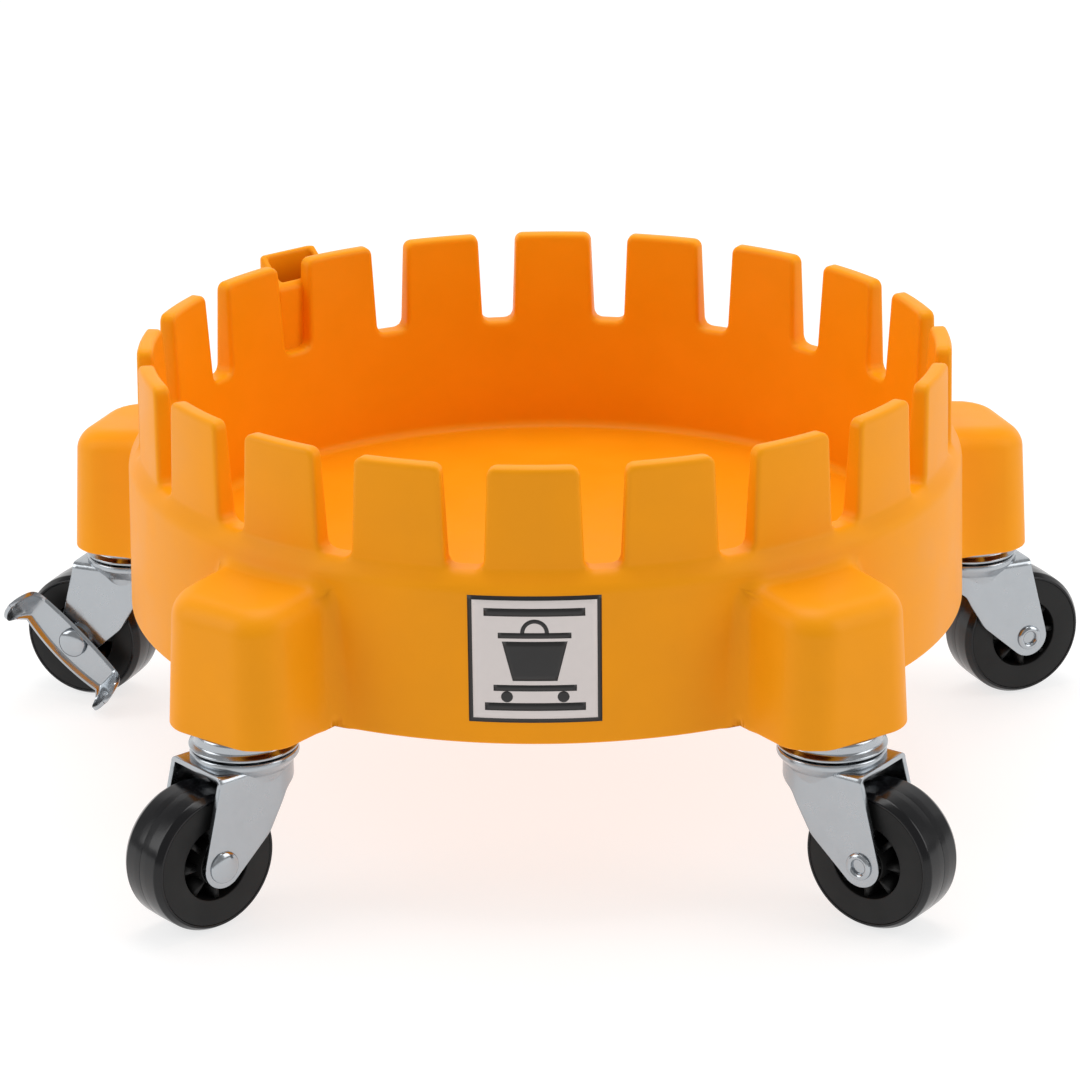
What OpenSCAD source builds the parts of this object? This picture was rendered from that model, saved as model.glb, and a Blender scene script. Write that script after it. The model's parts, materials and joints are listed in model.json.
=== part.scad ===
// Bucket dolly: a one-piece moulded ring with a castellated rim, carried on five swivel casters.
// Millimetres. The origin is the centre of the deck, where the bucket stands. +Z is up, and the
// label faces -Y. Every angle round the ring is counted from the front (-Y), positive towards +X.

/* [Ring] */
// Radius of the well at the deck, where the bucket's base sits
well_r = 140.5; // [120:0.5:170]
// How much wider the well is at the rim than at the deck
well_flare = 2.9; // [1:0.1:6]
// Height of the straight band at the bottom of the well
band_h = 14; // [8:1:24]
// Height of the deck above the floor
deck_height = 82; // [78:1:110]
// Thickness of the deck
deck_t = 4; // [3:0.5:6]
// Height of the tooth tops above the deck
rim_h = 81; // [70:1:110]
// Height of the shoulder, where the teeth start, above the deck
shoulder_h = 45; // [40:1:60]
// Wall of the moulding
wall = 3.5; // [2.5:0.25:4.5]
// Thickness of a tooth at its foot
tooth_t = 7.8; // [6:0.2:12]
// Thickness of a tooth at its top
tooth_top_t = 5.7; // [4:0.1:8]
// How far the skirt stands out from the tooth feet, at the shoulder
skirt_step = 4.5; // [2:0.5:10]
// Height over which the shoulder rounds down to the skirt
shoulder_drop = 6.5; // [4:0.5:10]
// Outward draft of the skirt from the shoulder to its bottom edge
skirt_draft = 1.5; // [0:0.25:4]

/* [Castellation] */
// Number of teeth
teeth = 20; // [12:1:26]
// Width of a gap at its floor
gap_w = 12.8; // [8:0.2:18]
// Extra width of a gap at the rim
gap_flare = 2.7; // [0:0.1:6]
// Corner radius at the floor of a gap
gap_corner_r = 3.6; // [1:0.2:5]
// Corner radius at the top of a tooth
tooth_corner_r = 3.2; // [1:0.2:5]

/* [Pods] */
// Distance from the outside of the skirt's top edge to a caster's swivel axis
caster_out = 16.9; // [16:0.1:26]
// Distance from the swivel axis to the pod's outer face
pod_reach = 18; // [16:0.5:24]
// Width of a pod at its bottom edge
pod_w = 52; // [46:1:64]
// Corner radius of a pod, seen from above
pod_corner_r = 14.5; // [8:0.5:18]
// Height of a pod's top above the deck, at the skirt
pod_top_h = 35; // [30:1:37]
// Fall of a pod's top from the skirt to its outer edge
pod_fall = 3; // [1:0.5:6]
// Rounding between a pod's top and its faces
pod_edge_r = 8; // [4:0.5:10]
// Inward draft of a pod's faces over their height
pod_draft = 2.2; // [0:0.2:4]
// Radius of the boss that holds the threaded insert
boss_r = 11.5; // [9.5:0.5:12.5]
// Thickness of the webs inside a pod and between the walls
web_t = 2.5; // [1.5:0.25:4]

/* [Casters] */
// Height of a caster, from the floor to the pod's underside
caster_h = 67; // [65:0.5:72]
// Radius of a wheel
wheel_r = 25; // [22:0.5:25.5]
// Width of a wheel
wheel_w = 20.8; // [16:0.2:21.6]
// Trail: how far the axle is behind the swivel axis
trail = 20.8; // [19:0.2:23]
// Thickness of the tread on the wheel's core
tread_t = 2.5; // [1.5:0.25:4]
// Rounding of the tread's edges
tread_edge_r = 2.2; // [0.5:0.1:2.4]
// Outer width of a fork across its legs
fork_w = 28.8; // [28:0.2:32]
// Thickness of the fork's sheet
fork_t = 2; // [1.5:0.1:2.4]
// Radius of the round end of a leg
leg_r = 7.7; // [6.5:0.1:9]
// Radius of the raceway, at the dish's lip and the fork's boss
race_r = 19; // [18.6:0.2:21]
// Radius of the axle
axle_r = 3; // [2:0.1:3.4]
// Radius of the stem
stem_r = 4.95; // [4:0.05:5.5]
// Length of the threaded insert in a pod
insert_l = 26; // [16:1:36]
// Outer radius of the threaded insert
insert_r = 7; // [6.6:0.1:8]
// Radial clearance of every turning fit
fit_gap = 0.05; // [0.02:0.01:0.1]

/* [Brake] */
// Half length of the brake lever, from the axle to a pad's face
lever_l = 29; // [28:0.5:33]
// Half width of the lever's plate at the axle
lever_w = 9; // [8:0.5:11]
// How far the pads stand out from the plate
pad_out = 13; // [8:0.5:18]
// Thickness of the lever's sheet
lever_t = 1.6; // [1.2:0.1:2]
// Thickness of the cam washer under the lever
cam_t = 1.6; // [1:0.1:2.5]
// Angle of the lever above level, at rest
lever_angle = 42; // [30:1:44]

/* [Holder] */
// Angle of the side holder round the ring
holder_angle = -138.6; // [-140:0.2:-137]
// Length of the holder along the ring
holder_l = 26.6; // [22:0.2:28]
// Depth of the holder's pocket, outward from the tooth feet
holder_depth = 9.5; // [7:0.5:14]
// Wall of the holder
holder_wall = 2.6; // [2:0.2:3.4]

/* [Label] */
// Width and height of the label on the skirt
label_size = 45; // [30:1:50]
// Thickness of the label
label_t = 0.3; // [0.2:0.1:0.6]
// Height of the label's lower edge above the skirt's bottom edge
label_rise = 8; // [4:0.5:12]

/* [Hidden] */
$fn = 96;
big = 400;

// Heights, from the deck at zero
floor_z = -deck_height;
base_z = floor_z + caster_h;
axle_z = floor_z + wheel_r;
skirt_top_z = shoulder_h - shoulder_drop;

// Radii of the ring
rim_in_r = well_r + well_flare;
foot_r = well_r + well_flare * (shoulder_h - band_h) / (rim_h - band_h) + tooth_t;
rim_out_r = rim_in_r + tooth_top_t;
skirt_top_r = foot_r + skirt_step;
skirt_base_r = skirt_top_r + skirt_draft;
core_r = skirt_top_r - wall / 2;
hub_ring_r = 45;
rib_drop = 8;

// Pods and casters, in the order of their names
CASTERS = ["front_left", "front_right", "side_right", "rear", "side_left"];
POD_ANGLES = [-36, 36, 108, 180, -108];
SWIVELS = [-11.7, 18.5, 5.5, -8, -2];
braked = 4;
caster_r = skirt_top_r + caster_out;
pod_r = caster_r + pod_reach;
pod_face_z = pod_top_h - pod_fall - pod_edge_r;
cavity_z = pod_face_z - 2;

// Raceway, downwards from the pod's underside
dish_t = 1.5;
ball_r = 3.2;
ball_pitch_r = 12.2;
ball_count = 10;
ball_gap = 0.1;
dish_in_z = base_z - dish_t;
ball_z = dish_in_z - ball_r;
groove_depth = 1;
boss_top_z = ball_z - ball_r - ball_gap + groove_depth;
lip_gap = 0.7;
lip_z = boss_top_z + lip_gap;
boss_rise = 2.5;
crown_z = boss_top_z - boss_rise;
under_z = crown_z - fork_t;
small_ball_r = 1.5;
small_pitch_r = 9.5;
small_count = 16;
small_groove = 0.5;
small_z = under_z + small_groove - small_ball_r;
cup_z = small_z - small_ball_r;
cup_t = 1.7;
cup_r = 12;
head_h = 3.8;
head_r = 8;
bush_r = stem_r + fit_gap + 1.2;

// Fork and wheel
fork_in = fork_w / 2 - fork_t;
fork_front = 16;
fork_front_r = 12;
skirt_edge_h = 8;
sleeve_r = axle_r + fit_gap + 1.15;
hub_bore_r = sleeve_r + fit_gap;
hub_boss_r = hub_bore_r + 3.3;
hub_side_gap = 0.8;
recess_r = 13;
web_half = 2;
core_out_r = wheel_r - tread_t;
spokes = 8;
rivet_r = 5.7;
rivet_h = 1.8;
roll_r = 5;
roll_h = 1.3;
lever_y = fork_w / 2 + cam_t;
lever_play = 0.1;

// ---------- helpers ----------

// Points of an arc about (cx, cy), from angle a0 to a1
function arc(cx, cy, r, a0, a1, n = 6) =
    [for (i = [0:n]) let (a = a0 + (a1 - a0) * i / n) [cx + r * cos(a), cy + r * sin(a)]];

// Where the line from p touches the circle of radius r about c; side is 1 or -1
function touch(p, c, r, side) =
    let (v = p - c, b = atan2(v[1], v[0]) + side * acos(r / norm(v)))
    c + r * [cos(b), sin(b)];

// Outer radius of the skirt at height z
function skirt_r_at(z) =
    skirt_top_r + skirt_draft * (skirt_top_z - z) / (skirt_top_z - base_z);

// Turns +X to point outwards at an angle round the ring
module at_angle(a) {
    rotate([0, 0, a - 90]) children();
}

// The frame of caster i: the swivel axis is Z, and the wheel trails towards +X
module at_caster(i) {
    at_angle(POD_ANGLES[i]) translate([caster_r, 0, 0]) rotate([0, 0, SWIVELS[i]]) children();
}

// Stands a drawing in X and Z up, and gives it width w about Y = 0
module upright(w) {
    rotate([90, 0, 0]) linear_extrude(w, center = true) children();
}

// Revolves a drawing in X and Y about the axle of a caster
module on_axle() {
    translate([trail, 0, axle_z]) rotate([-90, 0, 0]) rotate_extrude() children();
}

// ---------- the moulding ----------

// Half section of the ring: deck, well, teeth, shoulder and hollow skirt
module ring_section() {
    polygon(concat(
        [[0, 0], [well_r, 0], [well_r, band_h], [rim_in_r, rim_h], [rim_out_r, rim_h],
         [foot_r, shoulder_h]],
        arc(foot_r, skirt_top_z, skirt_step, 60, 0, 4),
        [[skirt_base_r, base_z], [skirt_base_r - wall, base_z],
         [skirt_top_r - wall, skirt_top_z - wall], [well_r + wall, skirt_top_z - wall],
         [well_r + wall, -deck_t], [0, -deck_t]]));
}

// Outline of the gap between two teeth, seen from outside. The arcs at the top run a little past
// the teeth, so that they cross the flat top and don't only touch it.
module gap_outline() {
    rise = rim_h - shoulder_h;
    corner = tooth_corner_r;
    corner_z = rise - corner + 0.06;
    top_half = (gap_w + gap_flare) / 2;
    difference() {
        union() {
            polygon([[-gap_w / 2, gap_corner_r], [gap_w / 2, gap_corner_r],
                [top_half, corner_z], [top_half + corner, corner_z], [top_half + corner, rise + 1],
                [-top_half - corner, rise + 1], [-top_half - corner, corner_z], [-top_half, corner_z]]);
            translate([gap_corner_r - gap_w / 2, 0]) square([gap_w - 2 * gap_corner_r, gap_corner_r + 1]);
            for (s = [-1, 1])
                translate([s * (gap_w / 2 - gap_corner_r), gap_corner_r]) circle(gap_corner_r);
        }
        for (s = [-1, 1])
            translate([s * (top_half + corner), corner_z]) circle(corner);
    }
}

// Everything that is cut away between the teeth
module gaps() {
    cut_in_r = well_r - 10;
    cut_out_r = foot_r + 1;
    for (i = [0:teeth - 1])
        at_angle((i + 0.5) * 360 / teeth)
            translate([cut_in_r, 0, shoulder_h]) rotate([90, 0, 90])
                linear_extrude(cut_out_r - cut_in_r) gap_outline();
}

// A rectangle from x0 to x1, of width w, with its two outer corners rounded
module pod_plan(x0, x1, w, r) {
    translate([x0, -w / 2]) square([x1 - r - x0, w]);
    translate([x1 - r - 1, r - w / 2]) square([r + 1, w - 2 * r]);
    for (s = [-1, 1])
        translate([x1 - r, s * (w / 2 - r)]) circle(r);
}

// The outer shape of a pod
module pod_block() {
    top_x = pod_r - pod_draft;
    top_y = pod_w / 2 - pod_draft;
    start_r = skirt_top_r - wall;
    intersection() {
        translate([0, 0, base_z])
            linear_extrude(pod_top_h - base_z) pod_plan(start_r, pod_r, pod_w, pod_corner_r);
        upright(pod_w + 2)
            polygon(concat([[start_r, base_z], [pod_r, base_z]],
                arc(top_x - pod_edge_r, pod_face_z, pod_edge_r, 0, 82),
                [[start_r, pod_top_h]]));
        translate([start_r, 0, 0]) rotate([90, 0, 90]) linear_extrude(pod_r)
            polygon(concat([[pod_w / 2, base_z]],
                arc(top_y - pod_edge_r, pod_top_h - pod_edge_r, pod_edge_r, 0, 90),
                arc(pod_edge_r - top_y, pod_top_h - pod_edge_r, pod_edge_r, 90, 180),
                [[-pod_w / 2, base_z]]));
    }
}

// A hollow pod with its boss and webs
module pod() {
    in_x0 = skirt_base_r + 1.5;
    in_x1 = pod_r - wall;
    in_w = pod_w - 2 * wall;
    difference() {
        pod_block();
        translate([0, 0, base_z - 1])
            linear_extrude(cavity_z - base_z + 1)
                pod_plan(in_x0, in_x1, in_w, pod_corner_r - wall);
        translate([0, 0, base_z - 1]) cylinder(h = big, r = core_r, $fn = 180);
    }
    intersection() {
        pod_block();
        translate([caster_r, 0, base_z]) {
            cylinder(h = cavity_z - base_z + 1, r = boss_r);
            translate([-web_t / 2, -pod_w / 2 + wall / 2, 0])
                cube([web_t, pod_w - wall, cavity_z - base_z + 1]);
            translate([in_x0 - caster_r - 1, -web_t / 2, 0])
                cube([in_x1 - in_x0 + 2, web_t, cavity_z - base_z + 1]);
        }
    }
}

// Ribs under the deck, and the webs between the well's wall and the skirt
module ribs() {
    web_in_r = well_r + wall / 2;
    web_low_z = 0.5 - deck_t;
    hub_drop = rib_drop + 1.5;
    translate([0, 0, -deck_t - hub_drop]) difference() {
        cylinder(h = hub_drop + 1, r = hub_ring_r);
        translate([0, 0, -1]) cylinder(h = hub_drop + 3, r = hub_ring_r - web_t);
    }
    for (a = POD_ANGLES)
        at_angle(a) translate([hub_ring_r - web_t / 2, -web_t / 2, -deck_t - rib_drop])
            cube([well_r - hub_ring_r + web_t, web_t, rib_drop + 1]);
    for (i = [0:teeth - 1])
        at_angle(i * 360 / teeth) translate([web_in_r, -web_t / 2, web_low_z])
            cube([core_r - web_in_r, web_t, skirt_top_z - wall + 1 - web_low_z]);
}

// The open-topped holder outside the rim, without its pocket
module holder_block() {
    x0 = foot_r - 1;
    x1 = foot_r + holder_depth + holder_wall;
    toe_z = skirt_top_z - 8;
    upright(holder_l)
        polygon([[x0, toe_z], [skirt_r_at(toe_z), toe_z], [x1, shoulder_h - 2], [x1, rim_h],
            [x1 - holder_wall, rim_h], [x0, rim_h - holder_depth]]);
}

module holder_pocket() {
    translate([foot_r + 0.2, -holder_l / 2 + holder_wall, shoulder_h + 1])
        cube([holder_depth - 0.2, holder_l - 2 * holder_wall, big]);
}

// The moulding: ring, pods, ribs and holder in one piece
module tub() {
    color("orange") difference() {
        union() {
            difference() {
                rotate_extrude($fn = 180) ring_section();
                gaps();
            }
            for (a = POD_ANGLES) at_angle(a) pod();
            difference() {
                at_angle(holder_angle) holder_block();
                cylinder(h = big, r = foot_r - 0.5, $fn = 180);
            }
            ribs();
        }
        at_angle(holder_angle) holder_pocket();
        for (a = POD_ANGLES)
            at_angle(a) translate([caster_r, 0, base_z - 1]) cylinder(h = insert_l + 1, r = insert_r);
    }
}

// The label, a thin patch that follows the skirt
module label() {
    z0 = base_z + label_rise;
    z1 = z0 + label_size;
    span = label_size / skirt_r_at((z0 + z1) / 2) * 180 / PI;
    color("gainsboro") at_angle(-span / 2) rotate_extrude(angle = span, $fn = 180)
        polygon([[skirt_r_at(z0) + fit_gap, z0], [skirt_r_at(z0) + label_t, z0],
            [skirt_r_at(z1) + label_t, z1], [skirt_r_at(z1) + fit_gap, z1]]);
}

// ---------- fixed parts of a caster ----------

// The five threaded sleeves moulded into the pods
module stem_inserts() {
    color("goldenrod") for (i = [0:len(CASTERS) - 1])
        at_caster(i) translate([0, 0, base_z]) difference() {
            cylinder(h = insert_l, r = insert_r);
            translate([0, 0, -1]) cylinder(h = insert_l + 2, r = stem_r + fit_gap);
        }
}

// The stem: a hexagon head below the cup, and a shank up into the insert
module stem(i) {
    tip_gap = 2;
    head_z = cup_z - cup_t;
    color("silver") at_caster(i) {
        translate([0, 0, head_z - head_h]) cylinder(h = head_h, r = head_r, $fn = 6);
        translate([0, 0, head_z]) cylinder(h = base_z + insert_l - tip_gap - head_z, r = stem_r);
    }
}

// The upper race: a pressed dish with a flared lip
module dish(i) {
    side_r = race_r - 1.8;
    corner = 1.7;
    color("silver") at_caster(i) rotate_extrude() polygon(concat(
        [[stem_r + fit_gap, base_z]],
        arc(side_r - corner, base_z - corner, corner, 90, 0, 4),
        [[side_r + 0.3, lip_z + 1.9], [race_r, lip_z + 0.7], [race_r, lip_z],
         [race_r - 1.4, lip_z], [side_r - dish_t + 0.3, lip_z + 1.4],
         [side_r - dish_t, dish_in_z], [stem_r + fit_gap, dish_in_z]]));
}

// A ring of balls
module balls(count, pitch_r, r, z) {
    for (k = [0:count - 1])
        rotate([0, 0, k * 360 / count]) translate([pitch_r, 0, z]) sphere(r, $fn = 24);
}

module upper_balls(i) {
    color("dimgray") at_caster(i) balls(ball_count, ball_pitch_r, ball_r, ball_z);
}

module lower_balls(i) {
    color("dimgray") at_caster(i) balls(small_count, small_pitch_r, small_ball_r, small_z);
}

// The lower race: a flange under the fork, with the sleeve that the fork turns on
module cup(i) {
    color("silver") at_caster(i) rotate_extrude() polygon([
        [stem_r + fit_gap, cup_z - cup_t], [cup_r, cup_z - cup_t], [cup_r, cup_z],
        [bush_r, cup_z], [bush_r, dish_in_z], [stem_r + fit_gap, dish_in_z]]);
}

// ---------- turning parts of a caster ----------

// Side view of a fork: from the crown down to the round end about the axle
module fork_side() {
    axle = [trail, axle_z];
    open_top = [trail, crown_z];
    waist = [1, axle_z + 7];
    front = [-fork_front, crown_z - skirt_edge_h];
    bow = [-9.5, crown_z - 9.7];
    polygon([[-fork_front, crown_z], open_top, touch(open_top, axle, leg_r, -1), axle,
        touch(waist, axle, leg_r, 1), waist, bow, front]);
    translate(axle) circle(leg_r);
}

// The fork: a pressed sheet with two legs, and the boss that carries the balls
module fork(i) {
    far_x = trail + leg_r + 2;
    color("gainsboro") at_caster(i) difference() {
        union() {
            difference() {
                intersection() {
                    upright(fork_w) fork_side();
                    translate([0, 0, floor_z]) linear_extrude(caster_h)
                        mirror([1, 0]) pod_plan(-far_x, fork_front, fork_w, fork_front_r);
                }
                translate([0, 0, floor_z]) linear_extrude(under_z - floor_z)
                    mirror([1, 0]) pod_plan(-far_x - 1, fork_front - fork_t, fork_w - 2 * fork_t,
                        fork_front_r - fork_t);
            }
            rotate_extrude() polygon([[0, under_z], [fork_in, under_z], [race_r - 1, crown_z],
                [race_r, crown_z + 1], [race_r, boss_top_z - 0.8], [race_r - 0.8, boss_top_z],
                [0, boss_top_z]]);
        }
        translate([0, 0, under_z - 1]) cylinder(h = caster_h, r = bush_r + fit_gap);
        rotate_extrude() translate([ball_pitch_r, ball_z]) circle(ball_r + ball_gap);
        rotate_extrude() translate([small_pitch_r, small_z]) circle(small_ball_r + ball_gap);
        translate([trail, 0, axle_z]) rotate([90, 0, 0])
            cylinder(h = fork_w + 2, r = axle_r + fit_gap, center = true);
    }
}

// The axle: a rivet with a domed head at +Y, and a rolled hollow end at -Y
module axle(i) {
    y0 = -fork_w / 2;
    y1 = fork_w / 2 + (i == braked ? cam_t + lever_t + 2 * lever_play : 0);
    bore_r = 1.8;
    color("silver") at_caster(i) on_axle() polygon(concat(
        [[0, y0 + 6], [bore_r, y0 + 4.5], [bore_r, y0 - roll_h], [roll_r - 1, y0 - roll_h],
         [roll_r, y0 - 0.4], [roll_r, y0], [axle_r, y0], [axle_r, y1], [rivet_r, y1]],
        [for (k = [1:6]) [rivet_r * cos(k * 15), y1 + rivet_h * sin(k * 15)]]));
}

// The sleeve that the legs clamp, and that the wheel turns on
module sleeve(i) {
    color("silver") at_caster(i) on_axle() polygon([
        [axle_r + fit_gap, -fork_in], [sleeve_r, -fork_in], [sleeve_r, fork_in],
        [axle_r + fit_gap, fork_in]]);
}

// The wheel's core: boss, web, ribs and rim
module wheel_core(i) {
    boss_half = fork_in - hub_side_gap;
    half = wheel_w / 2;
    lip = 0.8;
    color("#1c1c1c") at_caster(i) {
        on_axle() polygon([
            [hub_bore_r, -boss_half], [hub_boss_r, -boss_half], [hub_boss_r, -web_half],
            [recess_r, -web_half], [recess_r + lip, -half], [core_out_r, -half],
            [core_out_r, half], [recess_r + lip, half], [recess_r, web_half],
            [hub_boss_r, web_half], [hub_boss_r, boss_half], [hub_bore_r, boss_half]]);
        translate([trail, 0, axle_z]) for (k = [0:spokes - 1])
            rotate([0, k * 360 / spokes, 0]) translate([hub_boss_r - 0.5, 1 - half, -0.9])
                cube([recess_r - hub_boss_r + 1, 2 * half - 2, 1.8]);
    }
}

// The tread that covers the core
module tread(i) {
    half = wheel_w / 2;
    r = tread_edge_r;
    color("#262626") at_caster(i) on_axle() polygon(concat(
        [[core_out_r, -half]], arc(wheel_r - r, r - half, r, -90, 0, 4),
        arc(wheel_r - r, half - r, r, 0, 90, 4), [[core_out_r, half]]));
}

// ---------- brake ----------

// The cam washer between the leg and the lever
module brake_cam() {
    color("silver") at_caster(braked) translate([trail, fork_w / 2, axle_z]) rotate([-90, 0, 0])
        difference() {
            cylinder(h = cam_t, r = leg_r - 0.6);
            translate([0, 0, -1]) cylinder(h = cam_t + 2, r = axle_r + fit_gap);
        }
}

// The lever's plate, lying along X, with a round middle and two arms
module lever_plate() {
    arm = lever_l - 1;
    tip_w = 6.5;
    circle(lever_w);
    polygon([[-arm, -tip_w], [0, -lever_w + 0.5], [arm, -tip_w], [arm, tip_w],
        [0, lever_w - 0.5], [-arm, tip_w]]);
}

// The lever: the plate on the axle, and a foot pad bent outwards at each end
module brake_lever() {
    color("gainsboro") at_caster(braked) translate([trail, 0, axle_z])
        rotate([0, -lever_angle, 0]) {
            difference() {
                translate([0, lever_y + lever_play + lever_t, 0]) rotate([90, 0, 0])
                    linear_extrude(lever_t) lever_plate();
                rotate([90, 0, 0]) cylinder(h = big, r = axle_r + fit_gap, center = true);
            }
            for (s = [-1, 1])
                translate([s * (lever_l - lever_t / 2), lever_y + lever_play, 0])
                    rotate([0, 90, 0]) linear_extrude(lever_t, center = true) {
                        translate([-6.5, 0]) square([13, pad_out - 6.5]);
                        translate([0, pad_out - 6.5]) circle(6.5);
                    }
        }
}

// ---------- placing ----------

tub();
label();
stem_inserts();
brake_cam();
brake_lever();
for (i = [0:len(CASTERS) - 1]) {
    stem(i);
    dish(i);
    upper_balls(i);
    lower_balls(i);
    cup(i);
    fork(i);
    axle(i);
    sleeve(i);
    wheel_core(i);
    tread(i);
}
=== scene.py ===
"""Looks of the bucket dolly: a castellated ring moulding, its label and five swivel casters."""

import json
import math

import bmesh
import bpy
import numpy as np
from bpy.props import FloatProperty, FloatVectorProperty, IntProperty, PointerProperty
from mathutils import Matrix, Vector

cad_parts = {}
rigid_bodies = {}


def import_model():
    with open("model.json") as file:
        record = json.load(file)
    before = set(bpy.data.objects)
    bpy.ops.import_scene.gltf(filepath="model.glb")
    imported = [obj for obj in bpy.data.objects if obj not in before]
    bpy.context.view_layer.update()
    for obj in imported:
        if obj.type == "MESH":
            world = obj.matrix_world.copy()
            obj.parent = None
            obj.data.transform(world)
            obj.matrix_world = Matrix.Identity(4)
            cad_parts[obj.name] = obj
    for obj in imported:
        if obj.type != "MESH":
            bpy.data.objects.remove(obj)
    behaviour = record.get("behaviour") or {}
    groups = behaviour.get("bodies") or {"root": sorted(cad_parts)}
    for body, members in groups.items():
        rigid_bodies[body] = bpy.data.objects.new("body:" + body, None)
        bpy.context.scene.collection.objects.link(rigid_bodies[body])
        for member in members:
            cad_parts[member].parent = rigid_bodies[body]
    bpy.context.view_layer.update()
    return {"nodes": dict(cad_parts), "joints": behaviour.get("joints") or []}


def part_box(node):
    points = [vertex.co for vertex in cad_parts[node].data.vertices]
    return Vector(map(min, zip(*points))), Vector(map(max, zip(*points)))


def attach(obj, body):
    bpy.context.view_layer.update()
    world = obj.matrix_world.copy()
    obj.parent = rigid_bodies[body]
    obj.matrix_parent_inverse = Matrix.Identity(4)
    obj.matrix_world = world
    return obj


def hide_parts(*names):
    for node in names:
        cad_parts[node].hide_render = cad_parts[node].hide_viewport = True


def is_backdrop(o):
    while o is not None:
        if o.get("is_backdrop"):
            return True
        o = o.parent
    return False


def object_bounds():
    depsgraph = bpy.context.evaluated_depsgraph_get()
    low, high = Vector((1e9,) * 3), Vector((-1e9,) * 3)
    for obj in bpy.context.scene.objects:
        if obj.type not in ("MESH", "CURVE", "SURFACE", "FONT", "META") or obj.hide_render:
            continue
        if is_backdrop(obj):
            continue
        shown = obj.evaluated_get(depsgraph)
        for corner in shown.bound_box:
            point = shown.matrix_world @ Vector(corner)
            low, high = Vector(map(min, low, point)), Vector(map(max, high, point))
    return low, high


bl_info = {
    "name": "Bucket dolly",
    "version": (1, 0, 0),
    "blender": (4, 5, 0),
    "location": "View3D > Sidebar > Dolly",
    "description": "Makes the moulding, label, casters and stage of a bucket dolly",
    "category": "Object",
}

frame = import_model()
JOINTS = {joint["name"]: joint for joint in frame["joints"]}
CASTERS = [name.removesuffix("_turn") for name in JOINTS if name.endswith("_turn")]
BRAKED = JOINTS["brake_press"]["parent"].removesuffix("_swivel")
POD_ANGLES = [math.radians(-36 + 72 * k) for k in range(len(CASTERS))]


# ---------- sizes and colours ----------

def size(name, mm, description):
    """A length property with its default in millimetres."""
    return FloatProperty(name=name, default=mm / 1000, unit="LENGTH", description=description)


def colour(name, rgb, description):
    """A colour property with its default in linear red, green and blue."""
    return FloatVectorProperty(name=name, default=rgb, subtype="COLOR", min=0, max=1,
                               description=description)


class RingSizes(bpy.types.PropertyGroup):
    """Sizes of the ring moulding."""
    well_r: size("Well radius", 140.5, "Radius of the well at the deck")
    well_flare: size("Well flare", 2.9, "How much wider the well is at the rim")
    band_h: size("Band height", 14, "Height of the straight band at the bottom of the well")
    rim_h: size("Rim height", 81, "Height of the tooth tops above the deck")
    shoulder_h: size("Shoulder height", 45, "Height of the gap floors above the deck")
    tooth_t: size("Tooth foot", 7.8, "Thickness of a tooth at its foot")
    tooth_top_t: size("Tooth top", 5.7, "Thickness of a tooth at its top")
    skirt_step: size("Skirt step", 4.5, "How far the skirt stands out from the tooth feet")
    shoulder_drop: size("Shoulder drop", 6.5, "Height over which the shoulder rounds down")
    skirt_draft: size("Skirt draft", 1.5, "Outward draft of the skirt")
    wall: size("Wall", 3.5, "Wall of the moulding")
    deck_t: size("Deck", 4, "Thickness of the deck")
    edge_r: size("Edge rounding", 1.7, "Rounding of the teeth's long edges")
    gap_w: size("Gap width", 12.8, "Width of a gap at its floor")
    gap_flare: size("Gap flare", 2.7, "Extra width of a gap at the rim")
    gap_corner_r: size("Gap corner", 3.6, "Corner radius at the floor of a gap")
    tooth_corner_r: size("Tooth corner", 3.2, "Corner radius at the top of a tooth")
    teeth: IntProperty(name="Teeth", default=20, min=10, max=30, description="Number of teeth")


class PodSizes(bpy.types.PropertyGroup):
    """Sizes of the pods that carry the casters."""
    pod_r: size("Reach", 189, "Distance from the axis to a pod's outer face")
    pod_w: size("Width", 52, "Width of a pod at its bottom edge")
    corner_r: size("Corner", 14.5, "Corner radius seen from above")
    top_h: size("Top", 35, "Height of a pod's top above the deck")
    fall: size("Fall", 3, "Fall of a pod's top towards its outer face")
    edge_r: size("Edge", 8, "Rounding between the top and the faces")
    draft: size("Draft", 2.2, "Inward draft of a pod's faces")
    fillet_r: size("Fillet", 5, "Hollow rounding between a pod and the skirt, at its top")
    foot_fillet_r: size("Foot fillet", 8.5, "The same rounding at the bottom edge")
    cavity_h: size("Cavity", 22, "Height of the cavity's ceiling above the deck")


class UnderSizes(bpy.types.PropertyGroup):
    """Sizes of the ribs, webs and bosses under the deck."""
    web_t: size("Web", 2.5, "Thickness of a rib or web")
    hub_r: size("Hub", 45, "Outer radius of the hub ring")
    rib_drop: size("Rib depth", 8, "Depth of a radial rib below the deck")
    hub_extra: size("Hub extra", 1.5, "How much deeper the hub ring is than the ribs")
    boss_r: size("Boss", 11.5, "Outer radius of the boss in a pod")
    bore_r: size("Bore", 6.9, "Radius of the boss's hole for the insert")
    boss_in: size("Boss place", 18, "Distance from a pod's outer face in to the boss's axis")


class HolderSizes(bpy.types.PropertyGroup):
    """Sizes of the holder outside the rim."""
    half_w: size("Half width", 13.3, "Half the holder's width")
    wall: size("Wall", 2.6, "Thickness of the holder's walls")
    depth: size("Depth", 9.5, "Depth of the pocket, outwards from the tooth feet")


class LabelSizes(bpy.types.PropertyGroup):
    """Sizes of the label."""
    side: size("Side", 45, "Length of the label's sides")
    rise: size("Rise", 8, "Height of the label's bottom edge above the skirt's")
    border: size("Border", 1.5, "Width of the dark border")


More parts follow.
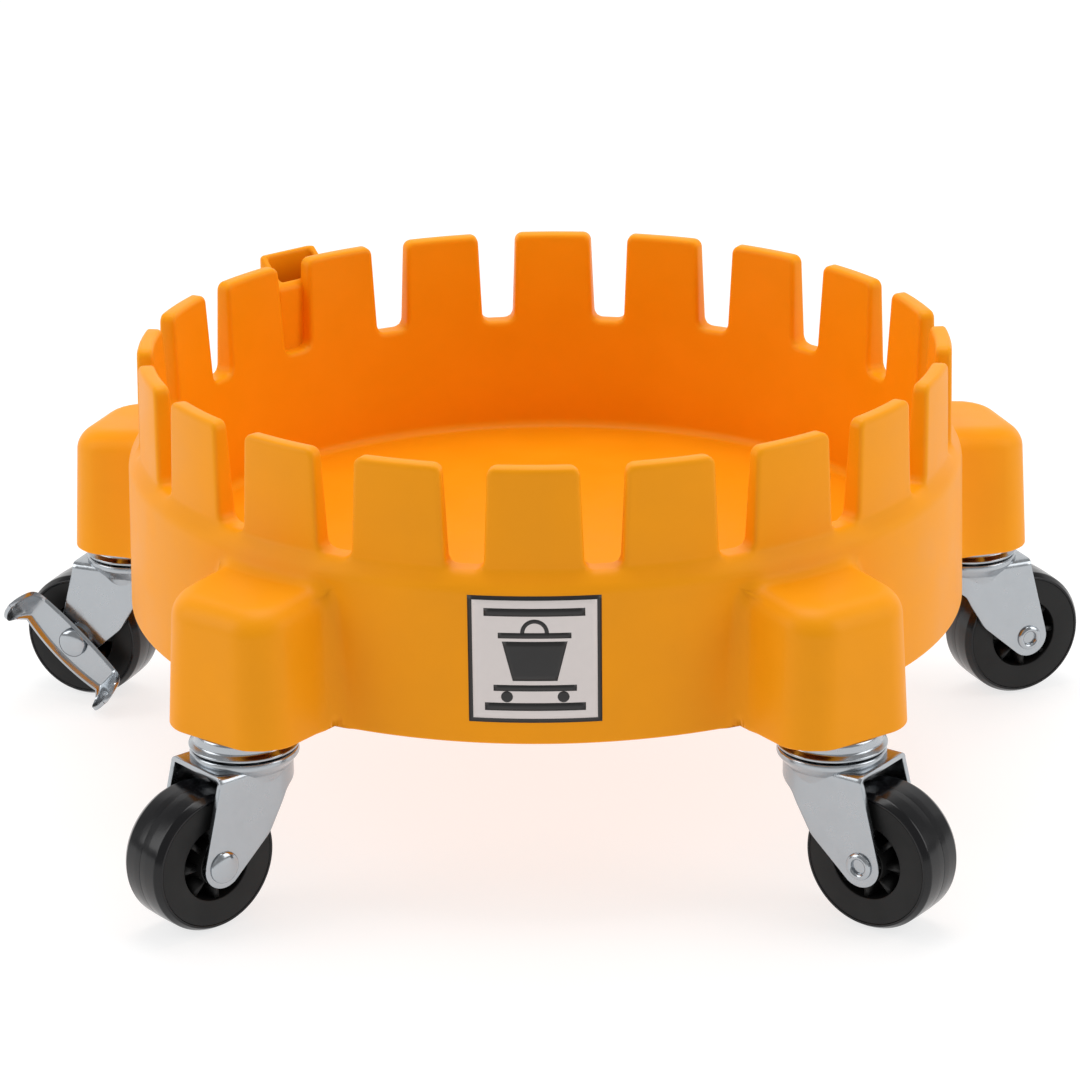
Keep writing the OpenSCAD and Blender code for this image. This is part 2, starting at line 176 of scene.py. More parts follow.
class LeverSizes(bpy.types.PropertyGroup):
    """Sizes of the brake lever."""
    length: size("Length", 29, "Distance from the axle to a pad's tip, along the arm")
    pad_l: size("Pad length", 9.5, "How much of that length each pad takes")
    pad_out: size("Pad reach", 12, "How far the pads stand out from the wheel's side")
    sheet_t: size("Sheet", 1.5, "Thickness of the lever's sheet")
    cam_t: size("Cam", 1.6, "Thickness of the cam washer behind the lever")
    play: size("Play", 0.1, "Gap between the lever and the cam washer")


class CasterSizes(bpy.types.PropertyGroup):
    """Sizes of a caster."""
    wheel_r: size("Wheel radius", 25, "Radius of the tread")
    wheel_w: size("Wheel width", 20.8, "Width of the wheel")
    tread_t: size("Tread", 2.5, "Thickness of the tread")
    fork_w: size("Fork width", 28.8, "Outer width across the legs")
    fork_t: size("Sheet", 2, "Thickness of the fork's sheet")
    fork_front: size("Fork front", 16, "How far the fork reaches ahead of the swivel axis")
    fork_front_r: size("Front corner", 12, "Corner radius of the fork's front")
    leg_r: size("Leg end", 7.7, "Radius of a leg's round end")
    race_r: size("Raceway", 19, "Radius of the raised raceway")
    crown_z: size("Crown", -24.5, "Height of the fork's crown")
    boss_top_z: size("Boss", -22.0, "Height of the top of the raceway boss")


class Finishes(bpy.types.PropertyGroup):
    """Colours of the finishes."""
    moulding: colour("Moulding", (0.93, 0.335, 0.001), "Yellow orange plastic")
    zinc: colour("Zinc", (0.42, 0.445, 0.47), "Bright zinc plate")
    tread: colour("Tread", (0.005, 0.005, 0.006), "Glossy black tread")
    core: colour("Core", (0.006, 0.006, 0.006), "Matte black wheel core")
    label: colour("Label", (0.74, 0.68, 0.66), "Light field of the label")
    ink: colour("Ink", (0.012, 0.011, 0.011), "Dark print of the label")
    brass: colour("Brass", (0.72, 0.52, 0.22), "Threaded inserts")
    floor: colour("Floor", (0.30, 0.30, 0.30), "Pale floor")


GROUPS = {"dolly_ring": RingSizes, "dolly_pods": PodSizes, "dolly_under": UnderSizes,
          "dolly_holder": HolderSizes, "dolly_label": LabelSizes, "dolly_casters": CasterSizes,
          "dolly_lever": LeverSizes, "dolly_finishes": Finishes}


class Millimetres:
    """The lengths of a property group, read in millimetres."""

    def __init__(self, group):
        self.group = group

    def __getattr__(self, name):
        return getattr(self.group, name) * 1000


def sizes(name):
    """The scene's property group of that name, in millimetres."""
    return Millimetres(getattr(bpy.context.scene, name))


# ---------- shapes ----------

def round_max(a, b, r):
    """What is inside both a and b, with a round edge of radius r where their surfaces cross."""
    return np.minimum(-r, np.maximum(a, b)) + np.hypot(np.maximum(r + a, 0), np.maximum(r + b, 0))


def round_min(a, b, r):
    """What is inside a or b, with a hollow fillet of radius r where their surfaces cross."""
    return -round_max(-a, -b, r)


def settle(points, field, steps=6, reach=0.02):
    """Moves points along the field's slope until the field is zero there (Newton's steps)."""
    p = points.reshape(-1, 3).astype(float)
    for _ in range(steps):
        value = field(p)
        slope = np.stack([(field(p + d) - field(p - d)) / (2 * reach)
                          for d in np.eye(3) * reach], axis=1)
        steep = np.maximum((slope ** 2).sum(axis=1), 0.05)
        p = p - slope * (value / steep)[:, None]
    return p.reshape(points.shape)


def rounded(corners, radii, steps=6):
    """A polyline whose inner corners are arcs of the given radii, tangent to both sides."""
    corners = [np.array(c, float) for c in corners]
    if np.isscalar(radii):
        radii = [radii] * (len(corners) - 2)
    line = [corners[0][None]]
    for before, corner, after, r in zip(corners, corners[1:], corners[2:], radii):
        u = (before - corner) / np.linalg.norm(before - corner)
        v = (after - corner) / np.linalg.norm(after - corner)
        half = math.acos(np.clip(u @ v, -1, 1)) / 2
        if r <= 0 or half > math.pi / 2 - 0.01:
            line.append(corner[None])
            continue
        reach = min(r / math.tan(half), 0.49 * np.linalg.norm(before - corner),
                    0.49 * np.linalg.norm(after - corner))
        r = reach * math.tan(half)
        middle = corner + (u + v) / np.linalg.norm(u + v) * r / math.sin(half)
        start, end = corner + u * reach - middle, corner + v * reach - middle
        turn = math.pi - 2 * half
        f = np.linspace(0, 1, steps + 1)[:, None]
        arc = (np.sin((1 - f) * turn) * start + np.sin(f * turn) * end) / math.sin(turn)
        line.append(middle + arc)
    line.append(corners[-1][None])
    return np.concatenate(line)


def resampled(line, count):
    """count points at equal distances along a polyline."""
    run = np.concatenate([[0], np.cumsum(np.linalg.norm(np.diff(line, axis=0), axis=1))])
    at = np.linspace(0, run[-1], count)
    return np.stack([np.interp(at, run, line[:, k]) for k in range(line.shape[1])], axis=1)


def graded(length, edge, fine, coarse):
    """Shares from 0 to 1 along a length: fine steps within edge of both ends, coarse between."""
    near = np.linspace(0, edge, fine + 1)
    middle = np.linspace(edge, length - edge, coarse + 1)
    return np.concatenate([near[:-1], middle, length - near[::-1][1:]]) / length


def grid_faces(rows, cols, start=0):
    """The quads of a grid whose points are numbered row by row."""
    i = np.arange(rows - 1)[:, None] * cols + np.arange(cols - 1)[None] + start
    return np.stack([i, i + 1, i + cols + 1, i + cols], axis=-1).reshape(-1, 4)


def make_piece(name, patches, material, closed=True, merge=0.002):
    """One object from grids of points in millimetres, welded where their edges meet."""
    points, faces, start = [], [], 0
    for patch in patches:
        rows, cols = patch.shape[:2]
        points.append(patch.reshape(-1, 3))
        faces.append(grid_faces(rows, cols, start))
        start += rows * cols
    mesh = bpy.data.meshes.new(name)
    mesh.from_pydata((np.concatenate(points) / 1000).tolist(), [], np.concatenate(faces).tolist())
    work = bmesh.new()
    work.from_mesh(mesh)
    bmesh.ops.remove_doubles(work, verts=work.verts, dist=merge / 1000)
    bmesh.ops.dissolve_degenerate(work, edges=work.edges, dist=1e-7)
    bmesh.ops.recalc_face_normals(work, faces=work.faces)
    open_edges = sum(1 for e in work.edges if len(e.link_faces) != 2)
    work.to_mesh(mesh)
    work.free()
    if closed and open_edges:
        print(f"OPEN EDGES {name}: {open_edges}")
    mesh.polygons.foreach_set("use_smooth", np.ones(len(mesh.polygons), bool))
    piece = bpy.data.objects.new(name, mesh)
    bpy.context.scene.collection.objects.link(piece)
    mesh.materials.append(material)
    return piece


def polar(r, angle, z):
    """Points at radius r, at an angle in radians counted from the front towards +X, height z."""
    r, angle, z = np.broadcast_arrays(r, angle, z)
    return np.stack([r * np.sin(angle), -r * np.cos(angle), z], axis=-1)


def revolved(profile, steps=96):
    """The grid that a profile of (radius, height) sweeps in one turn about Z."""
    turn = np.linspace(0, 2 * np.pi, steps + 1)
    return polar(profile[:, :1], turn[None], profile[:, 1:])


def sharpen(piece, width, segments=2, angle=0.6):
    """A small bevel on the edges sharper than angle."""
    bevel = piece.modifiers.new("edges", "BEVEL")
    bevel.width = width / 1000
    bevel.segments = segments
    bevel.limit_method = "ANGLE"
    bevel.angle_limit = angle


def thicken(piece, sheet_t, offset):
    """Gives an open sheet its thickness: offset 0 on both sides, -1 or 1 on one."""
    solid = piece.modifiers.new("sheet", "SOLIDIFY")
    solid.thickness = sheet_t / 1000
    solid.offset = offset
    return solid


# ---------- the ring's outlines ----------

DECK_FILLET = 3.5                            # hollow rounding between the deck and the wall
LIP_R = 0.8                                  # rounding of the bottom edge
LIP_ROWS = np.array([0, 0.3, 0.7, 1.2])      # heights of the first rows above the bottom edge


class Ring:
    """The ring's profile radii at a height, and the solid they bound, in millimetres."""

    def __init__(self):
        s, p = sizes("dolly_ring"), sizes("dolly_pods")
        self.s, self.p = s, p
        self.teeth = s.group.teeth
        self.base_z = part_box("tub")[0][2] * 1000
        self.foot_r = float(self.inner_r(s.shoulder_h)) + s.tooth_t
        self.top_out_r = s.well_r + s.well_flare + s.tooth_top_t
        self.skirt_top_z = s.shoulder_h - s.shoulder_drop
        self.skirt_top_r = self.foot_r + s.skirt_step
        self.skirt_base_r = self.skirt_top_r + s.skirt_draft
        self.cavity_x0 = self.skirt_base_r + 1.5
        self.cavity_x1 = p.pod_r - s.wall
        self.outline = self.outer_outline()
        self.pitch = 2 * np.pi / self.teeth

    def outer_outline(self):
        """Skirt, shoulder and tooth face as (radius, height), with the shoulder as an arc."""
        s = self.s
        past, ease_r = 10, 2.2
        draft = s.skirt_draft * past / (self.skirt_top_z - self.base_z)
        corners = [(self.skirt_base_r + draft, self.base_z - past),
                   (self.skirt_top_r, self.skirt_top_z + 1.5),
                   (self.foot_r + 0.5, s.shoulder_h + 0.2),
                   (self.top_out_r, s.rim_h + past)]
        return rounded(corners, [s.skirt_step * 1.5, ease_r], 16)

    def outer_r(self, z):
        """Radius of the skirt, the shoulder and the teeth's outer faces."""
        return np.interp(z, self.outline[:, 1], self.outline[:, 0])

    def inner_r(self, z):
        """Radius of the well: straight up the band, then widening evenly to the rim."""
        s = self.s
        share = np.clip((z - s.band_h) / (s.rim_h - s.band_h), 0, 1.2)
        return s.well_r + s.well_flare * share

    def core_r(self, z):
        """Inner radius of the hollow skirt."""
        return self.outer_r(z) - self.s.wall

    def half_gap(self, z):
        """Half a gap's width, which grows evenly from its floor to the rim."""
        s = self.s
        share = (z - s.shoulder_h) / (s.rim_h - s.shoulder_h)
        return (s.gap_w + s.gap_flare * np.clip(share, 0, 1.2)) / 2

    def wall_field(self, p):
        """The castellated wall: between the two profiles, below the rim, outside the gaps."""
        s = self.s
        r = np.hypot(p[:, 0], p[:, 1])
        angle = np.arctan2(p[:, 0], -p[:, 1])
        to_gap = (angle / self.pitch) % 1 - 0.5
        across = np.abs(r * np.sin(to_gap * self.pitch))
        z = p[:, 2]
        gap = round_max(across - self.half_gap(z), s.shoulder_h - z, s.gap_corner_r)
        outline = round_max(-gap, z - s.rim_h, s.tooth_corner_r)
        slab = np.maximum(r - self.outer_r(z), self.inner_r(z) - r)
        return round_max(slab, outline, s.edge_r)

    def well_field(self, p):
        """The wall joined to the deck by a fillet."""
        return round_min(self.wall_field(p), p[:, 2], DECK_FILLET)

    def pod_field(self, p):
        """A pod about the plane Y = 0 in its own frame, X outwards: a drafted block."""
        q = self.p
        rise = (p[:, 2] - self.base_z) / (q.top_h - self.base_z)
        side = np.abs(p[:, 1]) - (q.pod_w / 2 - q.draft * rise)
        face = p[:, 0] - (q.pod_r - q.draft * rise)
        plan = round_max(side, face, q.corner_r)
        out = (p[:, 0] - self.skirt_top_r) / (q.pod_r - self.skirt_top_r)
        return round_max(plan, p[:, 2] - (q.top_h - q.fall * out), q.edge_r)

    def skirt_field(self, p):
        """The skirt with one pod on it, in the pod's frame."""
        q, z = self.p, p[:, 2]
        fillet = np.interp(z, [self.base_z, q.top_h - 12], [q.foot_fillet_r, q.fillet_r])
        return round_min(np.hypot(p[:, 0], p[:, 1]) - self.outer_r(z), self.pod_field(p), fillet)

    def cavity_field(self, p):
        """The hollow inside a pod."""
        q, s = self.p, self.s
        back_r, ceiling_r = 1.5, 3
        middle = (self.cavity_x0 + self.cavity_x1) / 2
        corner = np.where(p[:, 0] > middle, q.corner_r - s.wall, back_r)
        plan = round_max(np.abs(p[:, 1]) - (q.pod_w / 2 - s.wall),
                         np.abs(p[:, 0] - middle) - (self.cavity_x1 - middle), corner)
        return round_max(plan, p[:, 2] - q.cavity_h, ceiling_r)

    def hoop_field(self, p):
        """The hollow skirt away from the pods, with a rounded bottom edge."""
        r = np.hypot(p[:, 0], p[:, 1])
        sheet = np.maximum(r - self.outer_r(p[:, 2]), self.core_r(p[:, 2]) - r)
        return round_max(sheet, self.base_z - p[:, 2], LIP_R)

    def bottom_field(self, p):
        """Skirt and pod with their hollows, and a rounded bottom edge."""
        r = np.hypot(p[:, 0], p[:, 1])
        hollow = np.maximum(self.core_r(p[:, 2]) - r, -self.cavity_field(p))
        return round_max(np.maximum(self.skirt_field(p), hollow), self.base_z - p[:, 2], LIP_R)


def turned(points, angle):
    """Turns a pod's frame, X outwards, to its angle round the ring."""
    c, s = math.cos(angle - math.pi / 2), math.sin(angle - math.pi / 2)
    x, y, z = points[..., 0], points[..., 1], points[..., 2]
    return np.stack([c * x - s * y, s * x + c * y, z], axis=-1)


# ---------- the ring moulding ----------

FRAME_CELLS = 5    # columns of the neighbouring tooth that a pod's frame takes on each side
POD_NEAR = 9       # cells from a pod's frame to the foot of its sides


def period_columns(ring):
    """Shares across a tooth and across a gap, with fine steps near their corners."""
    s = ring.s
    tooth_w = 34    # about a tooth's width, which only spaces the columns
    tooth = graded(tooth_w, s.tooth_corner_r + 0.2, 4, 6)
    gap = graded(s.gap_w, s.gap_corner_r, 4, 2)
    return tooth, gap


def column_angles(ring, r, z):
    """Angles of every column round the ring at radius r and height z. Each period is one tooth and
    the gap after it, and the first tooth's middle is at the front."""
    tooth, gap = period_columns(ring)
    half_gap = math.asin(float(ring.half_gap(np.array(z))) / r)
    half_tooth = ring.pitch / 2 - half_gap
    across = np.concatenate([-half_tooth + 2 * half_tooth * tooth[:-1],
                             half_tooth + 2 * half_gap * gap[:-1]])
    start = np.arange(ring.teeth)[:, None] * ring.pitch
    return (start + across[None]).ravel()


def teeth_patches(ring):
    """Grids of one tooth and its gap, repeated round the ring: outer face, inner face, top, both
    sides and the gap's floor. Each is a flat or drafted face whose edges the field rounds."""
    s = ring.s
    tooth, gap = period_columns(ring)
    height = s.rim_h - s.shoulder_h
    up = s.shoulder_h + height * graded(height, 4, 5, 6)
    deep = graded(s.tooth_t, s.edge_r + 0.2, 3, 1)

    def side_angle(r, z):
        return ring.pitch / 2 - np.arcsin(ring.half_gap(z) / r)

    def face(z, share, depth):
        """Across the tooth by share, up by z, and from the well outwards by depth."""
        r = ring.inner_r(z) + (ring.outer_r(z) - ring.inner_r(z)) * depth
        return polar(r, side_angle(r, z) * (2 * share - 1), z)

    top = np.array(s.rim_h)
    foot = np.array(s.shoulder_h)
    outer = face(up[:, None], tooth[None], 1.0)
    inner = face(up[:, None], tooth[None], 0.0)
    lid = face(top, tooth[None], deep[:, None])
    left = face(up[:, None], 0.0, deep[None])
    right = face(up[:, None], 1.0, deep[None])
    r = ring.inner_r(foot) + (ring.outer_r(foot) - ring.inner_r(foot)) * deep[:, None]
    half = np.arcsin(ring.half_gap(foot) / r)
    floor = polar(r, ring.pitch / 2 + half * (2 * gap[None] - 1), foot)
    one = [settle(patch, ring.wall_field) for patch in (outer, inner, lid, left, right, floor)]
    patches = []
    for k in range(ring.teeth):
        turn = k * ring.pitch + math.pi / 2
        patches += [turned(patch, turn) for patch in one]
    return patches


def skirt_rows(ring):
    """Heights of the rows from the bottom edge to the gap floors, and how many lie in a pod's
    frame."""
    low = ring.base_z + np.append(LIP_ROWS, 2.2)
    middle = np.linspace(ring.base_z + 4.5, ring.skirt_top_z - 4, 20)
    high = np.linspace(ring.skirt_top_z - 2.5, ring.s.shoulder_h, 10)
    rows = np.concatenate([low, middle, high])
    return rows, len(rows) - 3


def pod_cage(ring, columns, rows):
    """The sharp cage of a pod on the skirt, in the pod's frame. Its first parameter runs up the left
    side, over the top and down the right side; the second runs from the frame on the skirt, along
    the pod's sides, and over its outer face to the middle. Also gives the place of the sides' foot
    along the second parameter."""
    q = ring.p
    foot_y, foot_z = q.pod_w / 2, q.top_h
    fillet = q.fillet_r + 0.3
    to_foot = np.concatenate([np.linspace(1, 0.42, 4)[:-1], np.linspace(0.42, 0, POD_NEAR - 2)])
    run = q.pod_r - math.sqrt(ring.skirt_top_r ** 2 - foot_y ** 2)
    along = np.concatenate([np.linspace(0, fillet, 6)[1:-1],
                            np.linspace(fillet, run - q.corner_r, 5)[:-1],
                            np.linspace(run - q.corner_r, run, 9)]) / run
    inwards = np.concatenate([np.linspace(0, q.corner_r, 9)[1:-1],
                              np.linspace(q.corner_r, foot_y, 5)]) / foot_y
    near = len(to_foot)
    share = np.concatenate([to_foot, np.zeros(len(along) + len(inwards))])
    out = np.concatenate([np.zeros(near), along, np.ones(len(inwards))])
    half_w = foot_y * np.concatenate([np.ones(near + len(along)), 1 - inwards])
    top_z = np.concatenate([foot_z + (rows[-1] - foot_z) * to_foot, foot_z - q.fall * along,
                            foot_z - q.fall - 0.75 * foot_y * inwards])
    up = ((rows - rows[0]) / (rows[-1] - rows[0]))[:, None]
    side_z = rows[0] + up * (top_z[None] - rows[0])
    across = (columns / columns[-1])[1:-1, None]
    z = np.concatenate([side_z, np.repeat(top_z[None], len(across), axis=0), side_z[::-1]])
    eta = np.concatenate([-np.ones((len(rows), 1)), across, np.ones((len(rows), 1))])
    r = ring.outer_r(z)
    foot_angle = np.arcsin(foot_y / r)
    angle = eta * (foot_angle + (columns[-1] - foot_angle) * share[None])
    on_skirt = np.arange(len(share)) < near
    y = np.where(on_skirt[None], r * np.sin(angle), eta * half_w[None])
    x = np.where(on_skirt[None], r * np.cos(angle), np.sqrt(r ** 2 - y ** 2))
    x = x + (q.pod_r - x) * out[None]
    return np.stack([x, y, z], axis=-1), near - 1


def between(a, b, shares):
    """The grid of points at the given shares of the way from each point of a to that of b."""
    return a[None] + (b - a)[None] * shares[:, None, None]


def pod_bottom(ring, cage, foot, chord_cells):
    """The flat strips round a pod's bottom edge, the cavity, and the angles of the strips' inner
    ends round the hollow of the skirt. chord_cells is the number of cells between the two ends."""
    q, s = ring.p, ring.s
    shares = graded(s.wall, LIP_R, 2, 1)
    core_r = float(ring.core_r(ring.base_z))
    x0, x1 = ring.cavity_x0, ring.cavity_x1
    half = q.pod_w / 2 - s.wall
    lift = 12    # height above the bottom edge at which the cavity's plan is taken
    patches, loops, ends = [], [], []
    for side in (cage[0], cage[-1]):
        angle = np.arctan2(side[:foot + 1, 1], side[:foot + 1, 0])
        core = np.stack([core_r * np.cos(angle), core_r * np.sin(angle),
                         np.full(foot + 1, ring.base_z)], axis=-1)
        patches.append(between(side[:foot + 1], core, shares))
        rest = side[foot:]
        share = (rest[:, 0] - rest[0, 0]) / (rest[-1, 0] - rest[0, 0])
        hollow = np.stack([x0 + (x1 - x0) * share, rest[:, 1] * half / (q.pod_w / 2),
                           rest[:, 2]], axis=-1)
        inside = settle(hollow + np.array([0, 0, lift]), ring.cavity_field)
        hollow[:, :2] = inside[:, :2]
        patches.append(between(rest, hollow, shares))
        fan = between(hollow[:1], core[-1:], shares)[:, 0]
        patches.append(side[foot][None, None] + (fan - side[foot])[None] * shares[:, None, None])
        loops.append(hollow)
        ends.append(angle)
    chord = np.linspace(ends[0][-1], ends[1][-1], chord_cells + 1)
    back = np.linspace(loops[0][0], loops[1][0], chord_cells + 1)
    core = np.stack([core_r * np.cos(chord), core_r * np.sin(chord),
                     np.full(len(chord), ring.base_z)], axis=-1)
    patches.append(between(back, core, shares))
    loop = np.concatenate([back[::-1], loops[0][1:], loops[1][::-1][1:]])
    depth = q.cavity_h - ring.base_z
    rise = np.concatenate([LIP_ROWS, np.linspace(3, depth - 3.2, 8),
                           depth - np.array([2.4, 1.6, 0.8, 0])])
    walls = loop[None] + np.array([0, 0, 1]) * rise[:, None, None]
    middle = np.array([(x0 + x1) / 2, 0, q.cavity_h])
    shrink = np.array([0, 0.06, 0.12, 0.2, 0.5, 1])[:, None, None]
    lid = walls[-1][None] + (middle - walls[-1])[None] * shrink
    patches += [walls, lid]
    angles = np.concatenate([ends[0], chord[1:-1], ends[1][::-1]])
    return [settle(patch, ring.bottom_field) for patch in patches], angles


def well_patches(ring, angles):
    """The well's wall and the deck, down to the pole in its middle."""
    s = ring.s
    wall_z = np.concatenate([np.linspace(s.shoulder_h, s.shoulder_h - 4, 5),
                             np.linspace(s.shoulder_h - 8, s.band_h, 5),
                             np.linspace(s.band_h, 4, 4)[1:],
                             np.linspace(DECK_FILLET, 0, 6)])[:, None]
    deck_r = np.concatenate([s.well_r - np.linspace(0, DECK_FILLET, 6),
                             [120, 90, 60, 30, 12, 0]])[:, None]
    return [settle(polar(ring.inner_r(wall_z), angles[None], wall_z), ring.well_field),
            settle(polar(deck_r, angles[None], 0.0), ring.well_field)]


def hollow_patches(ring, angles):
    """The hollow of the skirt, and the deck's underside, down to its pole."""
    s = ring.s
    low = ring.base_z + np.append(LIP_ROWS, 3)
    high_z = ring.skirt_top_z - s.wall
    far_r, hub_r, corner_r = s.well_r + s.wall, 110, 1.5
    path = rounded([(float(ring.core_r(low[-1])), low[-1]), (ring.skirt_top_r - s.wall, high_z),
                    (far_r, high_z), (far_r, -s.deck_t), (hub_r, -s.deck_t), (0, -s.deck_t)],
                   [corner_r, corner_r, corner_r, 0], 4)
    return [settle(polar(ring.core_r(low[:, None]), angles[None], low[:, None]), ring.hoop_field),
            polar(path[:, :1], angles[None], path[:, 1:])]


def ring_patches(ring):
    """Every grid of the ring's closed surface."""
    tooth, gap = period_columns(ring)
    per_tooth, per_gap = len(tooth) - 1, len(gap) - 1
    period = per_tooth + per_gap
    rows, in_frame = skirt_rows(ring)
    foot_z = ring.s.shoulder_h
    outer = column_angles(ring, float(ring.outer_r(foot_z)), foot_z)
    inner = column_angles(ring, float(ring.inner_r(foot_z)), foot_z)
    whole_outer = np.append(outer, outer[0] + 2 * np.pi)
    whole_inner = np.append(inner, inner[0] + 2 * np.pi)
    patches = teeth_patches(ring) + well_patches(ring, whole_inner)

    # the skirt above the pods' frames, between them, and the pods themselves
    above = rows[in_frame - 1:][:, None]
    patches.append(settle(polar(ring.outer_r(above), whole_outer[None], above), ring.wall_field))
    reach = per_tooth // 2 + per_gap + FRAME_CELLS
    below = rows[:in_frame]
    per_pod = ring.teeth // len(POD_ANGLES) * period
    shares = graded(ring.s.wall, LIP_R, 2, 1)
    core_angles = []

    def columns(first, last, about):
        index = np.arange(first, last + 1)
        return outer[index % len(outer)] + 2 * np.pi * (index // len(outer)) - about

    for angle in POD_ANGLES:
        middle = round(angle / ring.pitch) * period + per_tooth // 2
        cage, foot = pod_cage(ring, columns(middle - reach, middle + reach, angle), below)
        strips, core = pod_bottom(ring, cage, foot, 2 * (reach - POD_NEAR))
        skin = settle(cage, ring.bottom_field)
        patches += [turned(patch, angle) for patch in [skin] + strips]
        plain = columns(middle + reach, middle + per_pod - reach, 0)
        outside = polar(ring.outer_r(below[:, None]), plain[None], below[:, None])
        core_r = float(ring.core_r(ring.base_z))
        strip = between(outside[0], polar(core_r, plain, ring.base_z), shares)
        patches += [settle(outside, ring.hoop_field), settle(strip, ring.hoop_field)]
        core_angles += [core + angle, plain[1:-1]]
    core_angles = np.concatenate(core_angles)
    core_angles = np.append(core_angles, core_angles[0] + 2 * np.pi)
    return patches + hollow_patches(ring, core_angles)


def block(x, y, z, cells=(2, 2, 2)):
    """The six faces of a box between pairs of limits, as grids."""
    u = [np.linspace(*limit, n) for limit, n in zip((x, y, z), cells)]
    patches = []
    for axis in range(3):
        a, b = [k for k in range(3) if k != axis]
        for end in (0, -1):
            grid = np.zeros((len(u[a]), len(u[b]), 3))
            grid[..., a] = u[a][:, None]
            grid[..., b] = u[b][None]
            grid[..., axis] = u[axis][end]
            patches.append(grid)
    return patches


def rib_patches(ring):
    """The closed blocks and tubes under the deck: hub ring, radial ribs, webs in the skirt, and in
    each pod a boss and two webs. Each sinks a little into the wall that it stands on."""
    s, q, u = ring.s, ring.p, sizes("dolly_under")
    web, sink, low = u.web_t / 2, 0.6, ring.base_z + 0.1
    under, hub_low = -s.deck_t, -s.deck_t - u.rib_drop - u.hub_extra
    stem_r = q.pod_r - u.boss_in

    def tube(outer_r, inner_r, top, bottom, steps):
        return revolved(np.array([[outer_r, top], [outer_r, bottom], [inner_r, bottom],
                                  [inner_r, top], [outer_r, top]]), steps)

    patches = [tube(u.hub_r, u.hub_r - u.web_t, under + sink, hub_low, 96)]
    core = float(ring.core_r(10.0))
    for k in range(ring.teeth):
        for patch in block((s.well_r + s.wall - sink, core + sink), (-web, web),
                           (0.5 - s.deck_t, ring.skirt_top_z - s.wall + sink)):
            patches.append(turned(patch, k * ring.pitch))
    top = q.cavity_h + sink
    half = q.pod_w / 2 - s.wall + sink
    for angle in POD_ANGLES:
        parts = [tube(u.boss_r, u.bore_r, top, ring.base_z, 48) + np.array([stem_r, 0, 0])]
        for a, b in ((ring.cavity_x0 - sink, stem_r - u.boss_r + sink),
                     (stem_r + u.boss_r - sink, ring.cavity_x1 + sink)):
            parts += block((a, b), (-web, web), (low, top))
        for a, b in ((-half, sink - u.boss_r), (u.boss_r - sink, half)):
            parts += block((stem_r - web, stem_r + web), (a, b), (low, top))
        parts += block((u.hub_r - web, s.well_r + sink), (-web, web),
                       (under - u.rib_drop, under + sink))
        patches += [turned(part, angle) for part in parts]
    return patches


HOLDER_ANGLE = math.radians(-138.6)


